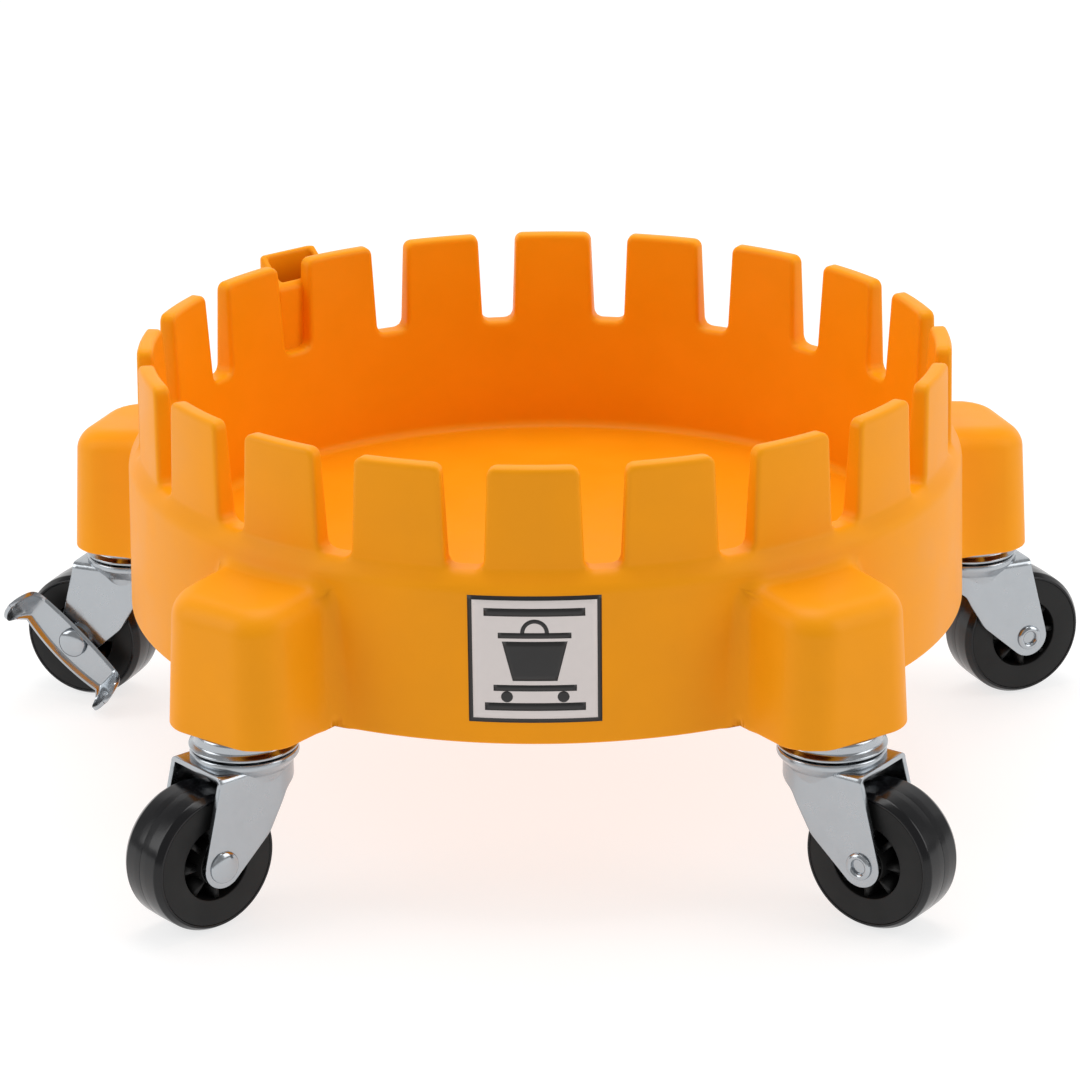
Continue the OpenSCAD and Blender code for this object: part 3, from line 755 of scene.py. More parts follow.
class Holder:
    """The open-topped holder outside the rim: a rounded block with a pocket, in its own frame with
    X outwards from the ring's axis."""

    def __init__(self, ring):
        s, own = ring.s, sizes("dolly_holder")
        sunk, gap = 2.5, 0.2    # how far it reaches into the teeth, and its pocket stays off them
        self.half, self.wall = own.half_w, own.wall
        self.x0 = ring.foot_r - sunk
        self.x1 = ring.foot_r + own.depth + self.wall
        self.pocket_x = ring.foot_r + gap
        self.top, self.floor = s.rim_h, s.shoulder_h + 1
        self.low, self.knee = ring.skirt_top_z - 8, s.shoulder_h - 2
        self.toe_x = float(ring.outer_r(self.low)) - 1

    def rim(self, x):
        """Height of the rim: level over the outer wall, then falling towards the ring."""
        fall = 0.9
        return self.top - np.maximum(self.x1 - self.wall - x, 0) * fall

    def toe(self, x):
        """Height of the underside, which slopes from the skirt out to the outer wall."""
        share = (x - self.toe_x) / (self.x1 - self.toe_x)
        return self.low + (self.knee - self.low) * np.clip(share, 0, 1)

    def field(self, p):
        """The block between its walls and its sloped underside, less the pocket."""
        x, y, z = p[:, 0], np.abs(p[:, 1]), p[:, 2]
        plan = round_max(y - self.half, x - self.x1, 3.0)
        plan = np.maximum(plan, self.x0 - x)
        solid = round_max(plan, (self.toe(x) - z) * 0.6, 1.5)
        solid = round_max(solid, (z - self.rim(x)) * 0.8, 1.2)
        pocket = round_max(y - (self.half - self.wall), x - (self.x1 - self.wall), 2.0)
        pocket = round_max(round_max(pocket, self.pocket_x - x, 1.0), self.floor - z, 1.5)
        return round_max(solid, -pocket, 1.0)

    def loop(self, x0, x1, half, z_of_x):
        """A closed loop round a rectangle, with the corners' points close together."""
        side = graded(x1 - x0, min(4, (x1 - x0) / 3), 8, 8)
        cross = graded(2 * half, min(4, half / 2), 8, 14)
        xs = [x0 + (x1 - x0) * side, x1 + 0 * cross, x1 + (x0 - x1) * side, x0 + 0 * cross]
        ys = [-half + 0 * side, -half + 2 * half * cross, half + 0 * side, half - 2 * half * cross]
        x, y = (np.concatenate([part[:-1] for part in parts] + [parts[0][:1]])
                for parts in (xs, ys))
        return np.stack([x, y, z_of_x(x)], axis=-1)

    def patches(self):
        """Loops from the middle of the underside out and up, over the rim, down into the pocket."""
        middle = (self.x0 + self.x1) / 2
        inner_x1, inner_half = self.x1 - self.wall, self.half - self.wall
        inside = (self.pocket_x + inner_x1) / 2
        tiny = 0.02
        loops = []
        lip = np.linspace(tiny, 0.08, 4)    # loops close under the rim, outside and inside

        def add(shares, loop_at):
            loops.extend(loop_at(f) for f in np.concatenate(shares))

        add([np.linspace(tiny, 0.75, 10), np.linspace(0.8, 1, 8)], lambda f: self.loop(
            middle + (self.x0 - middle) * f, middle + (self.x1 - middle) * f, self.half * f,
            self.toe))
        add([lip, np.linspace(0.15, 0.9, 12), np.linspace(0.93, 1, 5)], lambda f: self.loop(
            self.x0, self.x1, self.half, lambda x: self.toe(x) + (self.rim(x) - self.toe(x)) * f))
        add([np.linspace(0, 1, 7)[1:]], lambda f: self.loop(
            self.x0 + (self.pocket_x - self.x0) * f, self.x1 - self.wall * f,
            self.half - self.wall * f, self.rim))
        add([lip, np.linspace(0.15, 0.9, 10), np.linspace(0.94, 1, 4)], lambda f: self.loop(
            self.pocket_x, inner_x1, inner_half,
            lambda x: self.rim(x) + (self.floor - self.rim(x)) * f))
        add([np.linspace(0, 0.3, 6)[1:], np.linspace(0.4, 1 - tiny, 6)], lambda f: self.loop(
            self.pocket_x + (inside - self.pocket_x) * f, inner_x1 + (inside - inner_x1) * f,
            inner_half * (1 - f), lambda x: self.floor + 0 * x))
        skin = settle(np.array(loops), self.field, 8)
        skin[0] = skin[0].mean(axis=0)
        skin[-1] = skin[-1].mean(axis=0)
        return [turned(skin, HOLDER_ANGLE)]


# ---------- label ----------

def on_skirt(ring, across, up, stand):
    """Points on the skirt: across and up in millimetres from the label's middle, standing proud."""
    s = sizes("dolly_label")
    z = ring.base_z + s.rise + s.side / 2 + up
    r = ring.outer_r(z)
    return polar(r + stand, across / r, z)


def sheet_patches(ring, x_of, y_of, low, high, cells):
    """A thin closed sheet on the skirt, from a height low to high above its surface. x_of and y_of
    give its place from two parameters, each from 0 to 1."""
    u, v = np.meshgrid(np.linspace(0, 1, cells[0]), np.linspace(0, 1, cells[1]))
    x, y = x_of(u, v), y_of(u, v)
    top, bottom = on_skirt(ring, x, y, high), on_skirt(ring, x, y, low)
    sides = []
    for cut in ((0, slice(None)), (-1, slice(None)), (slice(None), 0), (slice(None), -1)):
        sides.append(np.stack([bottom[cut], top[cut]]))
    return [top, bottom] + sides


def rectangle(x0, x1, y0, y1):
    """The two coordinates of a rectangle, as functions of two parameters from 0 to 1."""
    return (lambda u, v: x0 + (x1 - x0) * u), (lambda u, v: y0 + (y1 - y0) * v)


def arc_band(x, y, r0, r1, a0, a1):
    """A part of a flat ring about (x, y), between two radii and two angles."""
    return ((lambda u, v: x + (r0 + (r1 - r0) * v) * np.cos(a0 + (a1 - a0) * u)),
            (lambda u, v: y + (r0 + (r1 - r0) * v) * np.sin(a0 + (a1 - a0) * u)))


def disc(x, y, r):
    """A round patch: the unit square drawn smoothly onto a circle."""
    def place(u, v):
        u, v = 2 * u - 1, 2 * v - 1
        return x + r * u * np.sqrt(1 - v * v / 2), y + r * v * np.sqrt(1 - u * u / 2)
    return (lambda u, v: place(u, v)[0]), (lambda u, v: place(u, v)[1])


def bucket(foot_w, flare, low, height):
    """A tapered bucket seen from the side."""
    return (lambda u, v: (u - 0.5) * (foot_w + flare * v)), (lambda u, v: low + height * v)


# ---------- casters ----------

class Caster:
    """One caster's frame: the swivel axis is Z, and the wheel trails towards X."""

    def __init__(self, name):
        self.name = name
        self.origin = np.array(JOINTS[name + "_turn"]["pos_m"]) * 1000
        self.wheel = np.array(JOINTS[name + "_roll"]["pos_m"]) * 1000
        along = (self.wheel - self.origin)[:2]
        self.trail = float(np.hypot(*along))
        self.x = np.append(along / self.trail, 0)
        self.y = np.array([-self.x[1], self.x[0], 0])
        self.axle_z = float(self.wheel[2])

    def place(self, points):
        """Points of the caster's frame, moved to the dolly's."""
        flat = self.origin * [1, 1, 0]
        return flat + points[..., :1] * self.x + points[..., 1:2] * self.y \
            + points[..., 2:] * [0, 0, 1]

    def on_axle(self, profile, steps=96):
        """The grid that a profile of (radius, place along the axle) sweeps about the axle."""
        turn = np.linspace(0, 2 * np.pi, steps + 1)[None]
        r, y = profile[:, :1], profile[:, 1:]
        points = np.stack(np.broadcast_arrays(r * np.cos(turn), y + 0 * turn, r * np.sin(turn)),
                          axis=-1)
        return self.place(points + [self.trail, 0, self.axle_z])

    def tilted(self, patch, angle):
        """A grid drawn about the axle, turned about it by an angle and moved to its place."""
        x, y, z = np.moveaxis(patch, -1, 0)
        c, n = math.cos(angle), math.sin(angle)
        return self.place(np.stack([self.trail + c * x - n * z, y, self.axle_z + n * x + c * z],
                                   axis=-1))


def fork_plan(run, s):
    """A point of the fork's plan outline at a distance from its front middle, and what is left of
    it: half the flat front, a quarter round corner, and the straight side."""
    half, r, front = s.fork_w / 2, s.fork_front_r, -s.fork_front
    flat = half - r
    turn = np.clip((run - flat) / r, 0, np.pi / 2)
    corner_end = flat + r * np.pi / 2
    x = front + r * (1 - np.cos(turn)) + np.maximum(run - corner_end, 0)
    y = np.minimum(run, flat) + r * np.sin(turn)
    return x, y


def fork_patches(caster, s):
    """The fork's sheet as grids: the crown, its bent edge, and a wall that runs from the front middle
    round the corner and down to the round end of each leg. The wall is a Coons patch between its
    upper and lower edges, drawn flat along the plan outline and then wrapped round it."""
    r, front = s.fork_front_r, -s.fork_front
    bend, waist_rise = 2.6, 7
    flat = s.fork_w / 2 - r
    corner_end = flat + r * np.pi / 2
    to_run = corner_end - (front + r)
    trail, axle_z, leg_r = caster.trail, caster.axle_z, s.leg_r
    top_z = s.crown_z - bend
    centre = np.array([trail + to_run, axle_z])

    def touch(point, side):
        """Where a line from the point touches the leg's round end, and the angle there."""
        v = point - centre
        b = math.atan2(v[1], v[0]) + side * math.acos(leg_r / np.linalg.norm(v))
        return b, centre + leg_r * np.array([math.cos(b), math.sin(b)])

    open_top = np.array([trail + to_run, top_z])
    waist = np.array([1 + to_run, axle_z + waist_rise])
    b_open, tip_open = touch(open_top, -1)
    b_low, tip_low = touch(waist, 1)
    crown_cells = np.concatenate([np.linspace(0, flat, 3)[:-1],
                                  np.linspace(flat, corner_end, 13)[:-1],
                                  np.linspace(corner_end, trail + to_run, 15)])
    upper = np.stack([crown_cells, np.full(len(crown_cells), top_z)], axis=-1)
    upper = np.concatenate([upper, np.linspace(open_top, tip_open, 22)[1:]])
    lower = rounded([(0, s.crown_z - 8), (flat + 8, s.crown_z - 8.4),
                     (corner_end - 3.5, s.crown_z - 11), waist, tip_low], [9, 6, 12], 8)
    lower = resampled(lower, len(upper))
    ends = np.linspace(b_open, b_low - 2 * np.pi if b_low > b_open else b_low, 17)
    tip = centre + leg_r * np.stack([np.cos(ends), np.sin(ends)], axis=-1)
    u = np.linspace(0, 1, len(upper))[:, None, None]
    v = np.linspace(0, 1, 17)[None, :, None]
    start = upper[0] + (lower[0] - upper[0]) * v[0]
    wall = (1 - v) * upper[:, None] + v * lower[:, None] + (1 - u) * start[None] + u * tip[None] \
        - ((1 - u) * (1 - v) * upper[0] + (1 - u) * v * lower[0]
           + u * (1 - v) * upper[-1] + u * v * lower[-1])
    x, y = fork_plan(wall[..., 0], s)
    wall = np.stack([x, y, wall[..., 1]], axis=-1)

    px, py = fork_plan(crown_cells, s)
    nx = np.where(crown_cells < flat, -1, np.where(crown_cells > corner_end, 0,
                  -np.cos(np.clip((crown_cells - flat) / r, 0, np.pi / 2))))
    ny = np.sqrt(1 - nx ** 2)
    turn = np.linspace(0, np.pi / 2, 6)[None, :]
    edge = np.stack([px[:, None] + nx[:, None] * bend * (np.cos(turn) - 1),
                     py[:, None] + ny[:, None] * bend * (np.cos(turn) - 1),
                     top_z + bend * np.sin(turn) + 0 * px[:, None]], axis=-1)
    inner_x = np.where(crown_cells < corner_end, -10 + 6 * crown_cells / corner_end,
                       edge[:, -1, 0])
    spine = np.stack([inner_x, 0 * inner_x, np.full(len(inner_x), s.crown_z)], axis=-1)
    shares = np.linspace(0, 1, 8)[None, :, None]
    crown = edge[:, -1:] + (spine[:, None] - edge[:, -1:]) * shares
    half_sheet = [wall, edge, crown]
    return half_sheet + [patch * [1, -1, 1] for patch in half_sheet]


def boss_profile(s):
    """The raised raceway: from its hole, over the ball groove and the rim, and down a flare that
    dies into the legs."""
    top, r, half = s.boss_top_z, s.race_r, s.fork_w / 2
    hole_r, under = 6.3, s.crown_z - 1.2
    return rounded([(hole_r, under), (hole_r, top), (r - 6, top), (r - 3.6, top - 0.9),
                    (r - 2.6, top), (r - 0.3, top - 0.3), (r, top - 2.2),
                    (half + 1.2, top - 6.4), (half - 0.4, top - 10.5), (half - 2.5, top - 12),
                    (10, under), (hole_r, under)],
                   [0.4, 1, 0.6, 0.4, 0.8, 1.4, 5, 6, 0.5, 1, 0.2], 5)


def dish_profile(s, base_z):
    """The upper race: a pressed dish with a rolled, flared lip."""
    r = s.race_r
    hole_r, sheet_t, lip_z = 5, 1.5, s.boss_top_z + 0.7
    side = r - 1.8
    return rounded([(hole_r, base_z), (side, base_z), (side + 0.1, lip_z + 2.2),
                    (r + 0.1, lip_z + 0.9), (r + 0.1, lip_z), (r - 1.2, lip_z + 0.1),
                    (side - 1.4, lip_z + 1.6), (side - sheet_t, base_z - sheet_t),
                    (hole_r, base_z - sheet_t), (hole_r, base_z)],
                   [1.8, 1.2, 0.5, 0.45, 0.5, 1.2, 1, 0.2], 6)


def axle_profile(s, reach):
    """The axle: a domed head beyond +Y, and at -Y an end rolled over a hollow."""
    y0, y1 = -s.fork_w / 2, reach
    head, dome = 5.7, 1.9
    turn = np.linspace(0.08, np.pi / 2, 10)
    cap = np.stack([head * np.cos(turn), y1 + 0.25 + (dome - 0.25) * np.sin(turn)], axis=-1)
    cap[-1, 0] = 0
    hollow = rounded([(0, y0 + 2.2), (1.2, y0 + 1.8), (2.5, y0 + 0.3), (2.7, y0 - 1.0),
                      (3.6, y0 - 1.45), (4.7, y0 - 0.9), (5.0, y0 + 0.05), (3, y0 + 0.3)],
                     [0.6, 0.9, 0.7, 0.7, 0.7, 0.4], 5)
    return np.concatenate([hollow, [(3, y1 - 0.2), (head, y1 - 0.1)], cap])


def tread_profile(s):
    """The tread: a slightly crowned face with rounded shoulders and a fine parting line."""
    r, half = s.wheel_r, s.wheel_w / 2
    inner = r - s.tread_t
    one = [(inner, -half + 0.25), (inner + 0.15, -half), (r - 1.6, -half), (r - 0.15, -half + 2.4),
           (r, -3), (r, -0.14)]
    radii = [0.1, 0.5, 1.5, 8, 0.05]
    other = [(radius, -y) for radius, y in reversed(one)]
    return rounded([*one, (r - 0.1, 0), *other, one[0]], [*radii, 0.05, *radii[::-1], 0.1], 6)


def core_profile(s):
    """The wheel's core: boss, web, deep recesses and rim."""
    half, rim = s.wheel_w / 2, s.wheel_r - s.tread_t
    play, boss_r, bore, recess, web = 0.8, 7.55, 4.25, 13.4, 2
    boss_y = s.fork_w / 2 - s.fork_t - play
    one = [(bore, -boss_y), (boss_r, -boss_y), (boss_r + 0.3, -web), (recess - 0.4, -web),
           (recess, 0.15 - half), (rim - 0.05, 0.15 - half)]
    radii = [0.4, 1, 1, 0.5, 0.1]
    other = [(radius, -y) for radius, y in reversed(one)]
    return rounded([*one, *other, one[0]], [*radii, *radii[::-1], 0.3], 4)


def spoke_patches(caster, s, count=8):
    """Ribs in the wheel's recesses, on both sides of the web."""
    inner_r, outer_r, half_t, half_w = 7.3, 13.8, 0.9, s.wheel_w / 2 - 1.2
    rib = block((inner_r, outer_r), (-half_w, half_w), (-half_t, half_t))
    return [caster.tilted(patch, k * 2 * math.pi / count) for k in range(count) for patch in rib]


def lever_patches(caster, s, own):
    """The brake lever, stamped from one sheet: a lens-shaped plate on the axle whose long edges
    turn outwards as flanges, and two rounded foot pads bent outwards at its ends. Drawn flat along
    the arm, then folded up at the edges and ends, and turned to the arm's angle."""
    tilt = math.radians(42)
    end_l, fold, flange_out, flange_in = 4, 3.2, 2.4, 0.35
    bend, lean, round_from, swell = 2.5, 0.36, 0.45, 0.35
    arm = own.length - own.pad_l
    along = np.concatenate([np.linspace(-arm, end_l - arm, 7)[:-1],
                            np.linspace(end_l - arm, arm - end_l, 25)[:-1],
                            np.linspace(arm - end_l, arm, 7)])
    x, v = np.meshgrid(along, np.linspace(-1, 1, 21), indexing="ij")
    taper = (x / own.length) ** 2
    half = np.where(v > 0, 7.6 - 2.0 * taper, 10.4 - 4.8 * taper)
    z = v * half
    edge = np.maximum(np.abs(z) - (half - fold), 0)
    y = s.fork_w / 2 + own.cam_t + own.play + flange_out * (edge / fold) ** 2
    z = np.sign(z) * (np.abs(z) - flange_in * edge)
    plate = np.stack([x, y, z], axis=-1)
    sheets = [plate]
    for end, base in ((-1, plate[0]), (1, plate[-1])):
        out = np.linspace(0, 1, 15)[1:]
        reach = own.pad_out * out[:, None]
        tip = np.maximum((out - round_from) / (1 - round_from), 0)
        width = (np.sqrt(np.maximum(1 - tip ** 2, 0)) * (1 + swell * np.sin(np.pi * out)))[:, None]
        pad_z = base[None, :, 2] * np.maximum(width, 0.02)
        pad_x = end * (arm + bend * (1 - np.exp(-reach / bend)) + lean * reach) + 0 * pad_z
        pad = np.stack([pad_x, base[None, :, 1] + reach, pad_z], axis=-1)
        sheets.append(np.concatenate([base[None], pad]))
    return [caster.tilted(patch, tilt) for patch in sheets]


# ---------- finishes ----------

def new_material(name):
    """A material with its shader, nodes and links."""
    material = bpy.data.materials.new(name)
    material.use_nodes = True
    nodes, links = material.node_tree.nodes, material.node_tree.links
    return material, nodes["Principled BSDF"], nodes, links


def noise(nodes, links, scale, detail=3, roughness=0.5, stretch=None):
    """Noise on object coordinates, with its grain per metre."""
    place = nodes.new("ShaderNodeTexCoord")
    texture = nodes.new("ShaderNodeTexNoise")
    texture.inputs["Scale"].default_value = scale
    texture.inputs["Detail"].default_value = detail
    texture.inputs["Roughness"].default_value = roughness
    out = place.outputs["Object"]
    if stretch:
        mapping = nodes.new("ShaderNodeMapping")
        mapping.inputs["Scale"].default_value = stretch
        links.new(out, mapping.inputs["Vector"])
        out = mapping.outputs["Vector"]
    links.new(out, texture.inputs["Vector"])
    return texture.outputs["Fac"]


def spread(nodes, links, value, low, high):
    """A value from 0.3 to 0.7 mapped between low and high."""
    ramp = nodes.new("ShaderNodeMapRange")
    ramp.inputs["From Min"].default_value = 0.3
    ramp.inputs["From Max"].default_value = 0.7
    ramp.inputs["To Min"].default_value = low
    ramp.inputs["To Max"].default_value = high
    links.new(value, ramp.inputs["Value"])
    return ramp.outputs["Result"]


def bumps(nodes, links, shader, value, distance_mm, strength):
    """Fine relief of the surface from a value."""
    bump = nodes.new("ShaderNodeBump")
    bump.inputs["Distance"].default_value = distance_mm / 1000
    bump.inputs["Strength"].default_value = strength
    links.new(value, bump.inputs["Height"])
    links.new(bump.outputs["Normal"], shader.inputs["Normal"])


def tinted(nodes, links, shader, value, rgb, change):
    """Base colour that varies around rgb by a share, up and down."""
    mix = nodes.new("ShaderNodeMix")
    mix.data_type = "RGBA"
    mix.inputs["A"].default_value = [*(c * (1 - change) for c in rgb), 1]
    mix.inputs["B"].default_value = [*(min(1, c * (1 + change)) for c in rgb), 1]
    links.new(value, mix.inputs["Factor"])
    links.new(mix.outputs["Result"], shader.inputs["Base Color"])


def moulding_finish(name, rgb):
    """Satin injection-moulded plastic: fine spark grain, soft cloudy gloss and a slight sheen."""
    material, shader, nodes, links = new_material(name)
    cloud = noise(nodes, links, 45, 3)
    grain = noise(nodes, links, 2600, 2, 0.6)
    tinted(nodes, links, shader, cloud, rgb, 0.05)
    links.new(spread(nodes, links, cloud, 0.40, 0.50), shader.inputs["Roughness"])
    shader.inputs["Specular IOR Level"].default_value = 0.18
    bumps(nodes, links, shader, grain, 0.05, 0.5)
    return material


def zinc_finish(name, rgb, rough=(0.16, 0.30), stretch=None):
    """Bright zinc plate: metal with a cloudy bluish bloom, faint rolling marks and fine pits."""
    material, shader, nodes, links = new_material(name)
    shader.inputs["Metallic"].default_value = 1.0
    cloud = noise(nodes, links, 160, 4, 0.6, stretch)
    fine = noise(nodes, links, 1800, 3, 0.6, stretch)
    tinted(nodes, links, shader, cloud, rgb, 0.08)
    links.new(spread(nodes, links, cloud, *rough), shader.inputs["Roughness"])
    bumps(nodes, links, shader, fine, 0.02, 0.35)
    return material


def rubber_finish(name, rgb, rough, coat, grain):
    """Black plastic, from a glossy tread to a matte core."""
    material, shader, nodes, links = new_material(name)
    cloud = noise(nodes, links, 120, 3)
    fine = noise(nodes, links, 1500, 3)
    tinted(nodes, links, shader, cloud, rgb, 0.15)
    links.new(spread(nodes, links, cloud, rough * 0.85, rough * 1.15), shader.inputs["Roughness"])
    shader.inputs["Specular IOR Level"].default_value = 0.3
    shader.inputs["Coat Weight"].default_value = coat
    shader.inputs["Coat Roughness"].default_value = 0.08
    bumps(nodes, links, shader, fine, 0.03, grain)
    return material


def film_finish(name, rgb, rough):
    """Printed film: nearly even, with a faint cloudiness."""
    material, shader, nodes, links = new_material(name)
    cloud = noise(nodes, links, 300, 2)
    tinted(nodes, links, shader, cloud, rgb, 0.03)
    links.new(spread(nodes, links, cloud, rough * 0.9, rough * 1.1), shader.inputs["Roughness"])
    return material


def finish_named(name):
    """The finish of that name, made once."""
    colours = bpy.context.scene.dolly_finishes
    makers = {
        "moulded_plastic": lambda n: moulding_finish(n, colours.moulding),
        "zinc_sheet": lambda n: zinc_finish(n, colours.zinc),
        "zinc_turned": lambda n: zinc_finish(n, colours.zinc, (0.12, 0.24)),
        "steel_balls": lambda n: zinc_finish(n, (0.55, 0.55, 0.56), (0.08, 0.18)),
        "brass": lambda n: zinc_finish(n, colours.brass, (0.2, 0.35)),
        "tread_black": lambda n: rubber_finish(n, colours.tread, 0.2, 0.06, 0.15),
        "core_black": lambda n: rubber_finish(n, colours.core, 0.48, 0.0, 0.4),
        "label_film": lambda n: film_finish(n, colours.label, 0.45),
        "label_ink": lambda n: film_finish(n, colours.ink, 0.4),
    }
    full_name = "dolly_" + name
    return bpy.data.materials.get(full_name) or makers[name](full_name)


def settle_piece(piece, body, slot, *nodes):
    """Rides a finished piece on its body and hides the nodes that it stands for; the slot is not
    used.
    """
    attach(piece, body)
    if nodes:
        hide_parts(*nodes)
    return piece


# ---------- operators ----------

class DOLLY_OT_ring(bpy.types.Operator):
    """Makes the ring moulding with its pods, the ribs under it and the side holder"""
    bl_idname = "dolly.ring"
    bl_label = "Ring moulding"

    def execute(self, context):
        ring = Ring()
        for name, patches in (("ring_moulding", ring_patches(ring)),
                              ("under_ribs", rib_patches(ring)),
                              ("side_holder", Holder(ring).patches())):
            piece = make_piece(name, patches, finish_named("moulded_plastic"))
            settle_piece(piece, "ring", "moulding", "tub")
        return {"FINISHED"}


class DOLLY_OT_label(bpy.types.Operator):
    """Makes the label: a dark backing, a light field and a plain pictogram"""
    bl_idname = "dolly.label"
    bl_label = "Label"

    def execute(self, context):
        ring, s = Ring(), sizes("dolly_label")
        half = s.side / 2
        field = half - s.border
        ink, film = finish_named("label_ink"), finish_named("label_film")
        backing = sheet_patches(ring, *rectangle(-half, half, -half, half), -0.1, 0.12, (24, 24))
        light = sheet_patches(ring, *rectangle(-field, field, -field, field), 0, 0.18, (24, 24))
        band_half, band_h, wheel_x = 17, 2.8, 9.5
        bands = [(rectangle(-band_half, band_half, y, y + band_h), (18, 3)) for y in (15.4, -18.2)]
        body = bucket(15, 7, -7.5, 14)
        rim = rectangle(-12.3, 12.3, 7.6, 9.6)
        cart = rectangle(-14, 14, -11.2, -9.0)
        handle = arc_band(0, 9.6, 3.4, 4.8, 0, math.pi)
        wheels = [(disc(x, -13.2, 2.0), (8, 8)) for x in (-wheel_x, wheel_x)]
        marks = [*bands, (body, (12, 8)), (rim, (14, 3)), (cart, (14, 3)), (handle, (24, 3)), *wheels]
        prints = []
        for (x_of, y_of), cells in marks:
            prints += sheet_patches(ring, x_of, y_of, 0.1, 0.215, cells)
        for name, patches, finish in (("label_backing", backing, ink), ("label_field", light, film),
                                      ("label_print", prints, ink)):
            piece = make_piece(name, patches, finish, merge=0.0005)
            settle_piece(piece, "ring", "label", "label")
        return {"FINISHED"}


class DOLLY_OT_casters(bpy.types.Operator):
    """Makes the five casters: dish, fork, raceway boss, axle, wheel core and tread"""
    bl_idname = "dolly.casters"
    bl_label = "Casters"

    def execute(self, context):
        s, lever = sizes("dolly_casters"), sizes("dolly_lever")
        brake_stack = lever.cam_t + lever.sheet_t + 3 * lever.play
        base_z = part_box("tub")[0][2] * 1000
        sheet, turned_zinc = finish_named("zinc_sheet"), finish_named("zinc_turned")
        for name in CASTERS:
            caster = Caster(name)
            swivel, wheel = name + "_swivel", name + "_wheel"
            fork = make_piece(name + "_fork_sheet",
                              [caster.place(p) for p in fork_patches(caster, s)], sheet, closed=False)
            top = max(fork.data.polygons, key=lambda f: f.center.z)
            solid = thicken(fork, s.fork_t, -1 if top.normal.z > 0 else 1)
            solid.use_even_offset = True
            sharpen(fork, 0.25, 2, 0.9)
            settle_piece(fork, swivel, "zinc_sheet", name + "_fork")
            reach = s.fork_w / 2 + (brake_stack if name == BRAKED else 0)
            parts = (
                ("_fork_boss", [caster.place(revolved(boss_profile(s)))], sheet,
                 swivel, "zinc_sheet", "_fork"),
                ("_upper_race", [caster.place(revolved(dish_profile(s, base_z)))], sheet,
                 "ring", "zinc_sheet", "_dish"),
                ("_axle_rivet", [caster.on_axle(axle_profile(s, reach), 64)], turned_zinc,
                 swivel, "zinc_turned", "_axle"),
                ("_core", [caster.on_axle(core_profile(s)), *spoke_patches(caster, s)],
                 finish_named("core_black"), wheel, "core", "_wheel_core"),
                ("_tyre", [caster.on_axle(tread_profile(s), 144)], finish_named("tread_black"),
                 wheel, "tread", "_tread"))
            for own_name, patches, finish, body, slot, node in parts:
                piece = make_piece(name + own_name, patches, finish)
                settle_piece(piece, body, slot, name + node)
        return {"FINISHED"}


class DOLLY_OT_brake(bpy.types.Operator):
    """Makes the brake lever on the braked caster"""
    bl_idname = "dolly.brake"
    bl_label = "Brake lever"

    def execute(self, context):
        s, own = sizes("dolly_casters"), sizes("dolly_lever")
        lever = make_piece("brake_lever_sheet", lever_patches(Caster(BRAKED), s, own),
                           finish_named("zinc_sheet"), closed=False)
        thicken(lever, own.sheet_t, 0)
        sharpen(lever, 0.3, 2, 0.9)
        settle_piece(lever, "brake", "zinc_sheet", "brake_lever")
        return {"FINISHED"}


class DOLLY_OT_inner(bpy.types.Operator):
    """Gives the inner parts that keep their own shape their finishes"""
    bl_idname = "dolly.inner"
    bl_label = "Inner parts"

    def execute(self, context):
        ends = {"_stem": "zinc_turned", "_cup": "zinc_sheet", "_sleeve": "zinc_turned",
                "_upper_balls": "steel_balls", "_lower_balls": "steel_balls",
                "stem_inserts": "brass", "brake_cam": "zinc_sheet"}
        for name, node in frame["nodes"].items():
            if node.hide_render:
                continue
            finish = next((f for end, f in ends.items() if name.endswith(end)), None)
            if finish is None:
                raise RuntimeError(f"no finish for {name}")
            for k in range(len(node.material_slots)):
                node.material_slots[k].material = finish_named(finish)
        return {"FINISHED"}


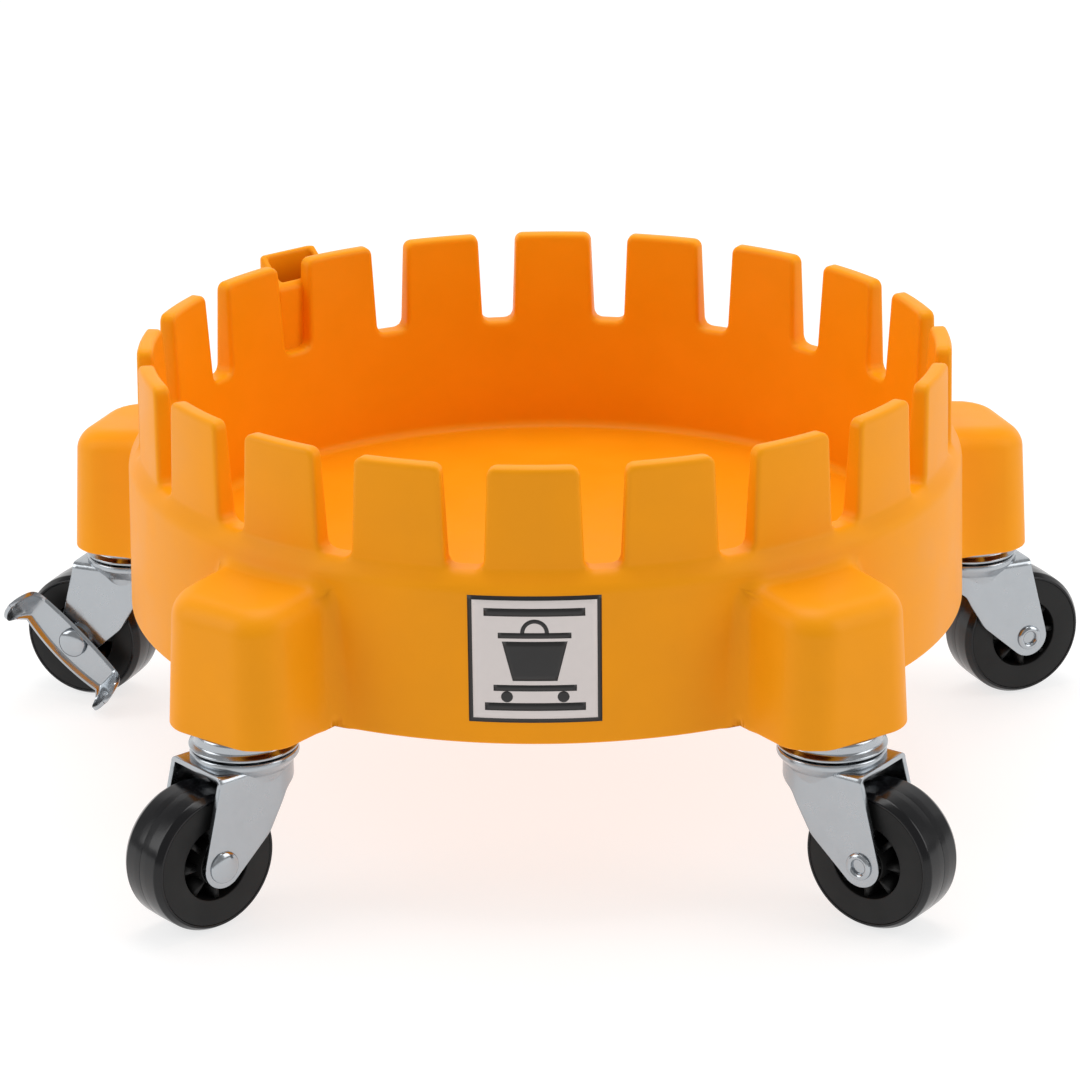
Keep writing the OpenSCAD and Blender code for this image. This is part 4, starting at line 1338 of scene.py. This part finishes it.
class DOLLY_OT_stage(bpy.types.Operator):
    """Makes the pale floor, the soft lights and the camera"""
    bl_idname = "dolly.stage"
    bl_label = "Stage"

    def execute(self, context):
        self.floor(context)
        self.lights(context)
        self.camera(context)
        return {"FINISHED"}

    def floor(self, context):
        """A flat floor that sweeps up behind in a quarter circle."""
        front, flat, bend_r, whole, half_w = -2.6, 3.0, 1.5, 6, 4
        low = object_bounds()[0][2] - 0.0003
        run = np.linspace(0, whole, 60)[:, None]
        turn = np.clip((run - flat) / bend_r, 0, np.pi / 2)
        y = front + np.minimum(run, flat) + bend_r * np.sin(turn)
        z = low + bend_r * (1 - np.cos(turn)) + np.maximum(run - flat - bend_r * np.pi / 2, 0)
        x = np.linspace(-half_w, half_w, 20)[None]
        points = np.stack(np.broadcast_arrays(x, y, z), axis=-1) * 1000
        material, shader, nodes, links = new_material("pale_floor")
        rgb = context.scene.dolly_finishes.floor
        tinted(nodes, links, shader, noise(nodes, links, 3, 2), rgb, 0.005)
        shader.inputs["Roughness"].default_value = 0.7
        shader.inputs["Specular IOR Level"].default_value = 0.1
        shader.inputs["Emission Color"].default_value = (1, 1, 1, 1)
        shader.inputs["Emission Strength"].default_value = 0.75
        floor = make_piece("floor", [points], material, closed=False)
        floor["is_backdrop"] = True

    def lights(self, context):
        """Even white light all round, and four soft boxes: name, place, width, height, watts."""
        world = context.scene.world or bpy.data.worlds.new("studio")
        context.scene.world = world
        world.use_nodes = True
        background = world.node_tree.nodes["Background"]
        background.inputs["Color"].default_value = (1, 1, 1, 1)
        background.inputs["Strength"].default_value = 0.38
        boxes = (("top_box", (0.0, 0.25, 1.5), 1.1, 1.1, 14),
                 ("left_box", (-1.5, -0.35, 0.75), 0.9, 1.2, 8),
                 ("right_box", (1.5, -0.35, 0.75), 0.9, 1.2, 8),
                 ("front_box", (0.0, -1.7, 1.0), 1.4, 0.7, 0.5))
        for name, place, width, height, power in boxes:
            light = bpy.data.lights.new(name, "AREA")
            light.shape = "RECTANGLE"
            light.size, light.size_y = width, height
            light.energy = power
            box = bpy.data.objects.new(name, light)
            box.location = place
            aim = Vector((0, 0, 0.02)) - Vector(place)
            box.rotation_euler = aim.to_track_quat("-Z", "Y").to_euler()
            context.scene.collection.objects.link(box)

    def camera(self, context):
        """A long lens a little above the rim, slightly turned and rolled, aimed past the shoulder."""
        lens, sensor, distance = 121.59, 36.0, 1.3551
        azimuth, elevation, roll = (math.radians(a) for a in (1.69, 20.09, -0.70))
        half_view = sensor / 2 / lens
        aim = Vector((0, 0, 0.045))
        aim_right, aim_up = 0.00926 * half_view, 0.20333 * half_view
        back = Vector((math.sin(azimuth) * math.cos(elevation),
                       -math.cos(azimuth) * math.cos(elevation), math.sin(elevation)))
        right = (-back).cross(Vector((0, 0, 1))).normalized()
        up = right.cross(-back)
        x_axis = right * math.cos(roll) + up * math.sin(roll)
        y_axis = up * math.cos(roll) - right * math.sin(roll)
        data = bpy.data.cameras.new("camera")
        data.lens, data.sensor_width, data.sensor_fit = lens, sensor, "HORIZONTAL"
        data.clip_start, data.clip_end = 0.05, 50
        camera = bpy.data.objects.new("camera", data)
        turn = Matrix((x_axis, y_axis, back)).transposed().to_4x4()
        place = aim + back * distance - (x_axis * aim_right + y_axis * aim_up) * distance
        camera.matrix_world = Matrix.Translation(place) @ turn
        context.scene.collection.objects.link(camera)
        context.scene.camera = camera
        context.scene.view_settings.view_transform = "Standard"


class DOLLY_PT_panel(bpy.types.Panel):
    """Lists the dolly's sizes and the operators that make it"""
    bl_label = "Bucket dolly"
    bl_idname = "DOLLY_PT_panel"
    bl_space_type = "VIEW_3D"
    bl_region_type = "UI"
    bl_category = "Dolly"

    def draw(self, context):
        for name, group in GROUPS.items():
            box = self.layout.box()
            box.label(text=group.__doc__)
            for key in group.__annotations__:
                box.prop(getattr(context.scene, name), key)
        for operator in STEPS:
            self.layout.operator(operator.bl_idname)


STEPS = (DOLLY_OT_ring, DOLLY_OT_label, DOLLY_OT_casters, DOLLY_OT_brake, DOLLY_OT_inner,
         DOLLY_OT_stage)
CLASSES = (*GROUPS.values(), *STEPS, DOLLY_PT_panel)


def register():
    for item in CLASSES:
        bpy.utils.register_class(item)
    for name, group in GROUPS.items():
        setattr(bpy.types.Scene, name, PointerProperty(type=group))


def unregister():
    for name in GROUPS:
        delattr(bpy.types.Scene, name)
    for item in reversed(CLASSES):
        bpy.utils.unregister_class(item)


def main():
    register()
    for operator in STEPS:
        group, action = operator.bl_idname.split(".")
        getattr(getattr(bpy.ops, group), action)()


if __name__ == "__main__":
    main()
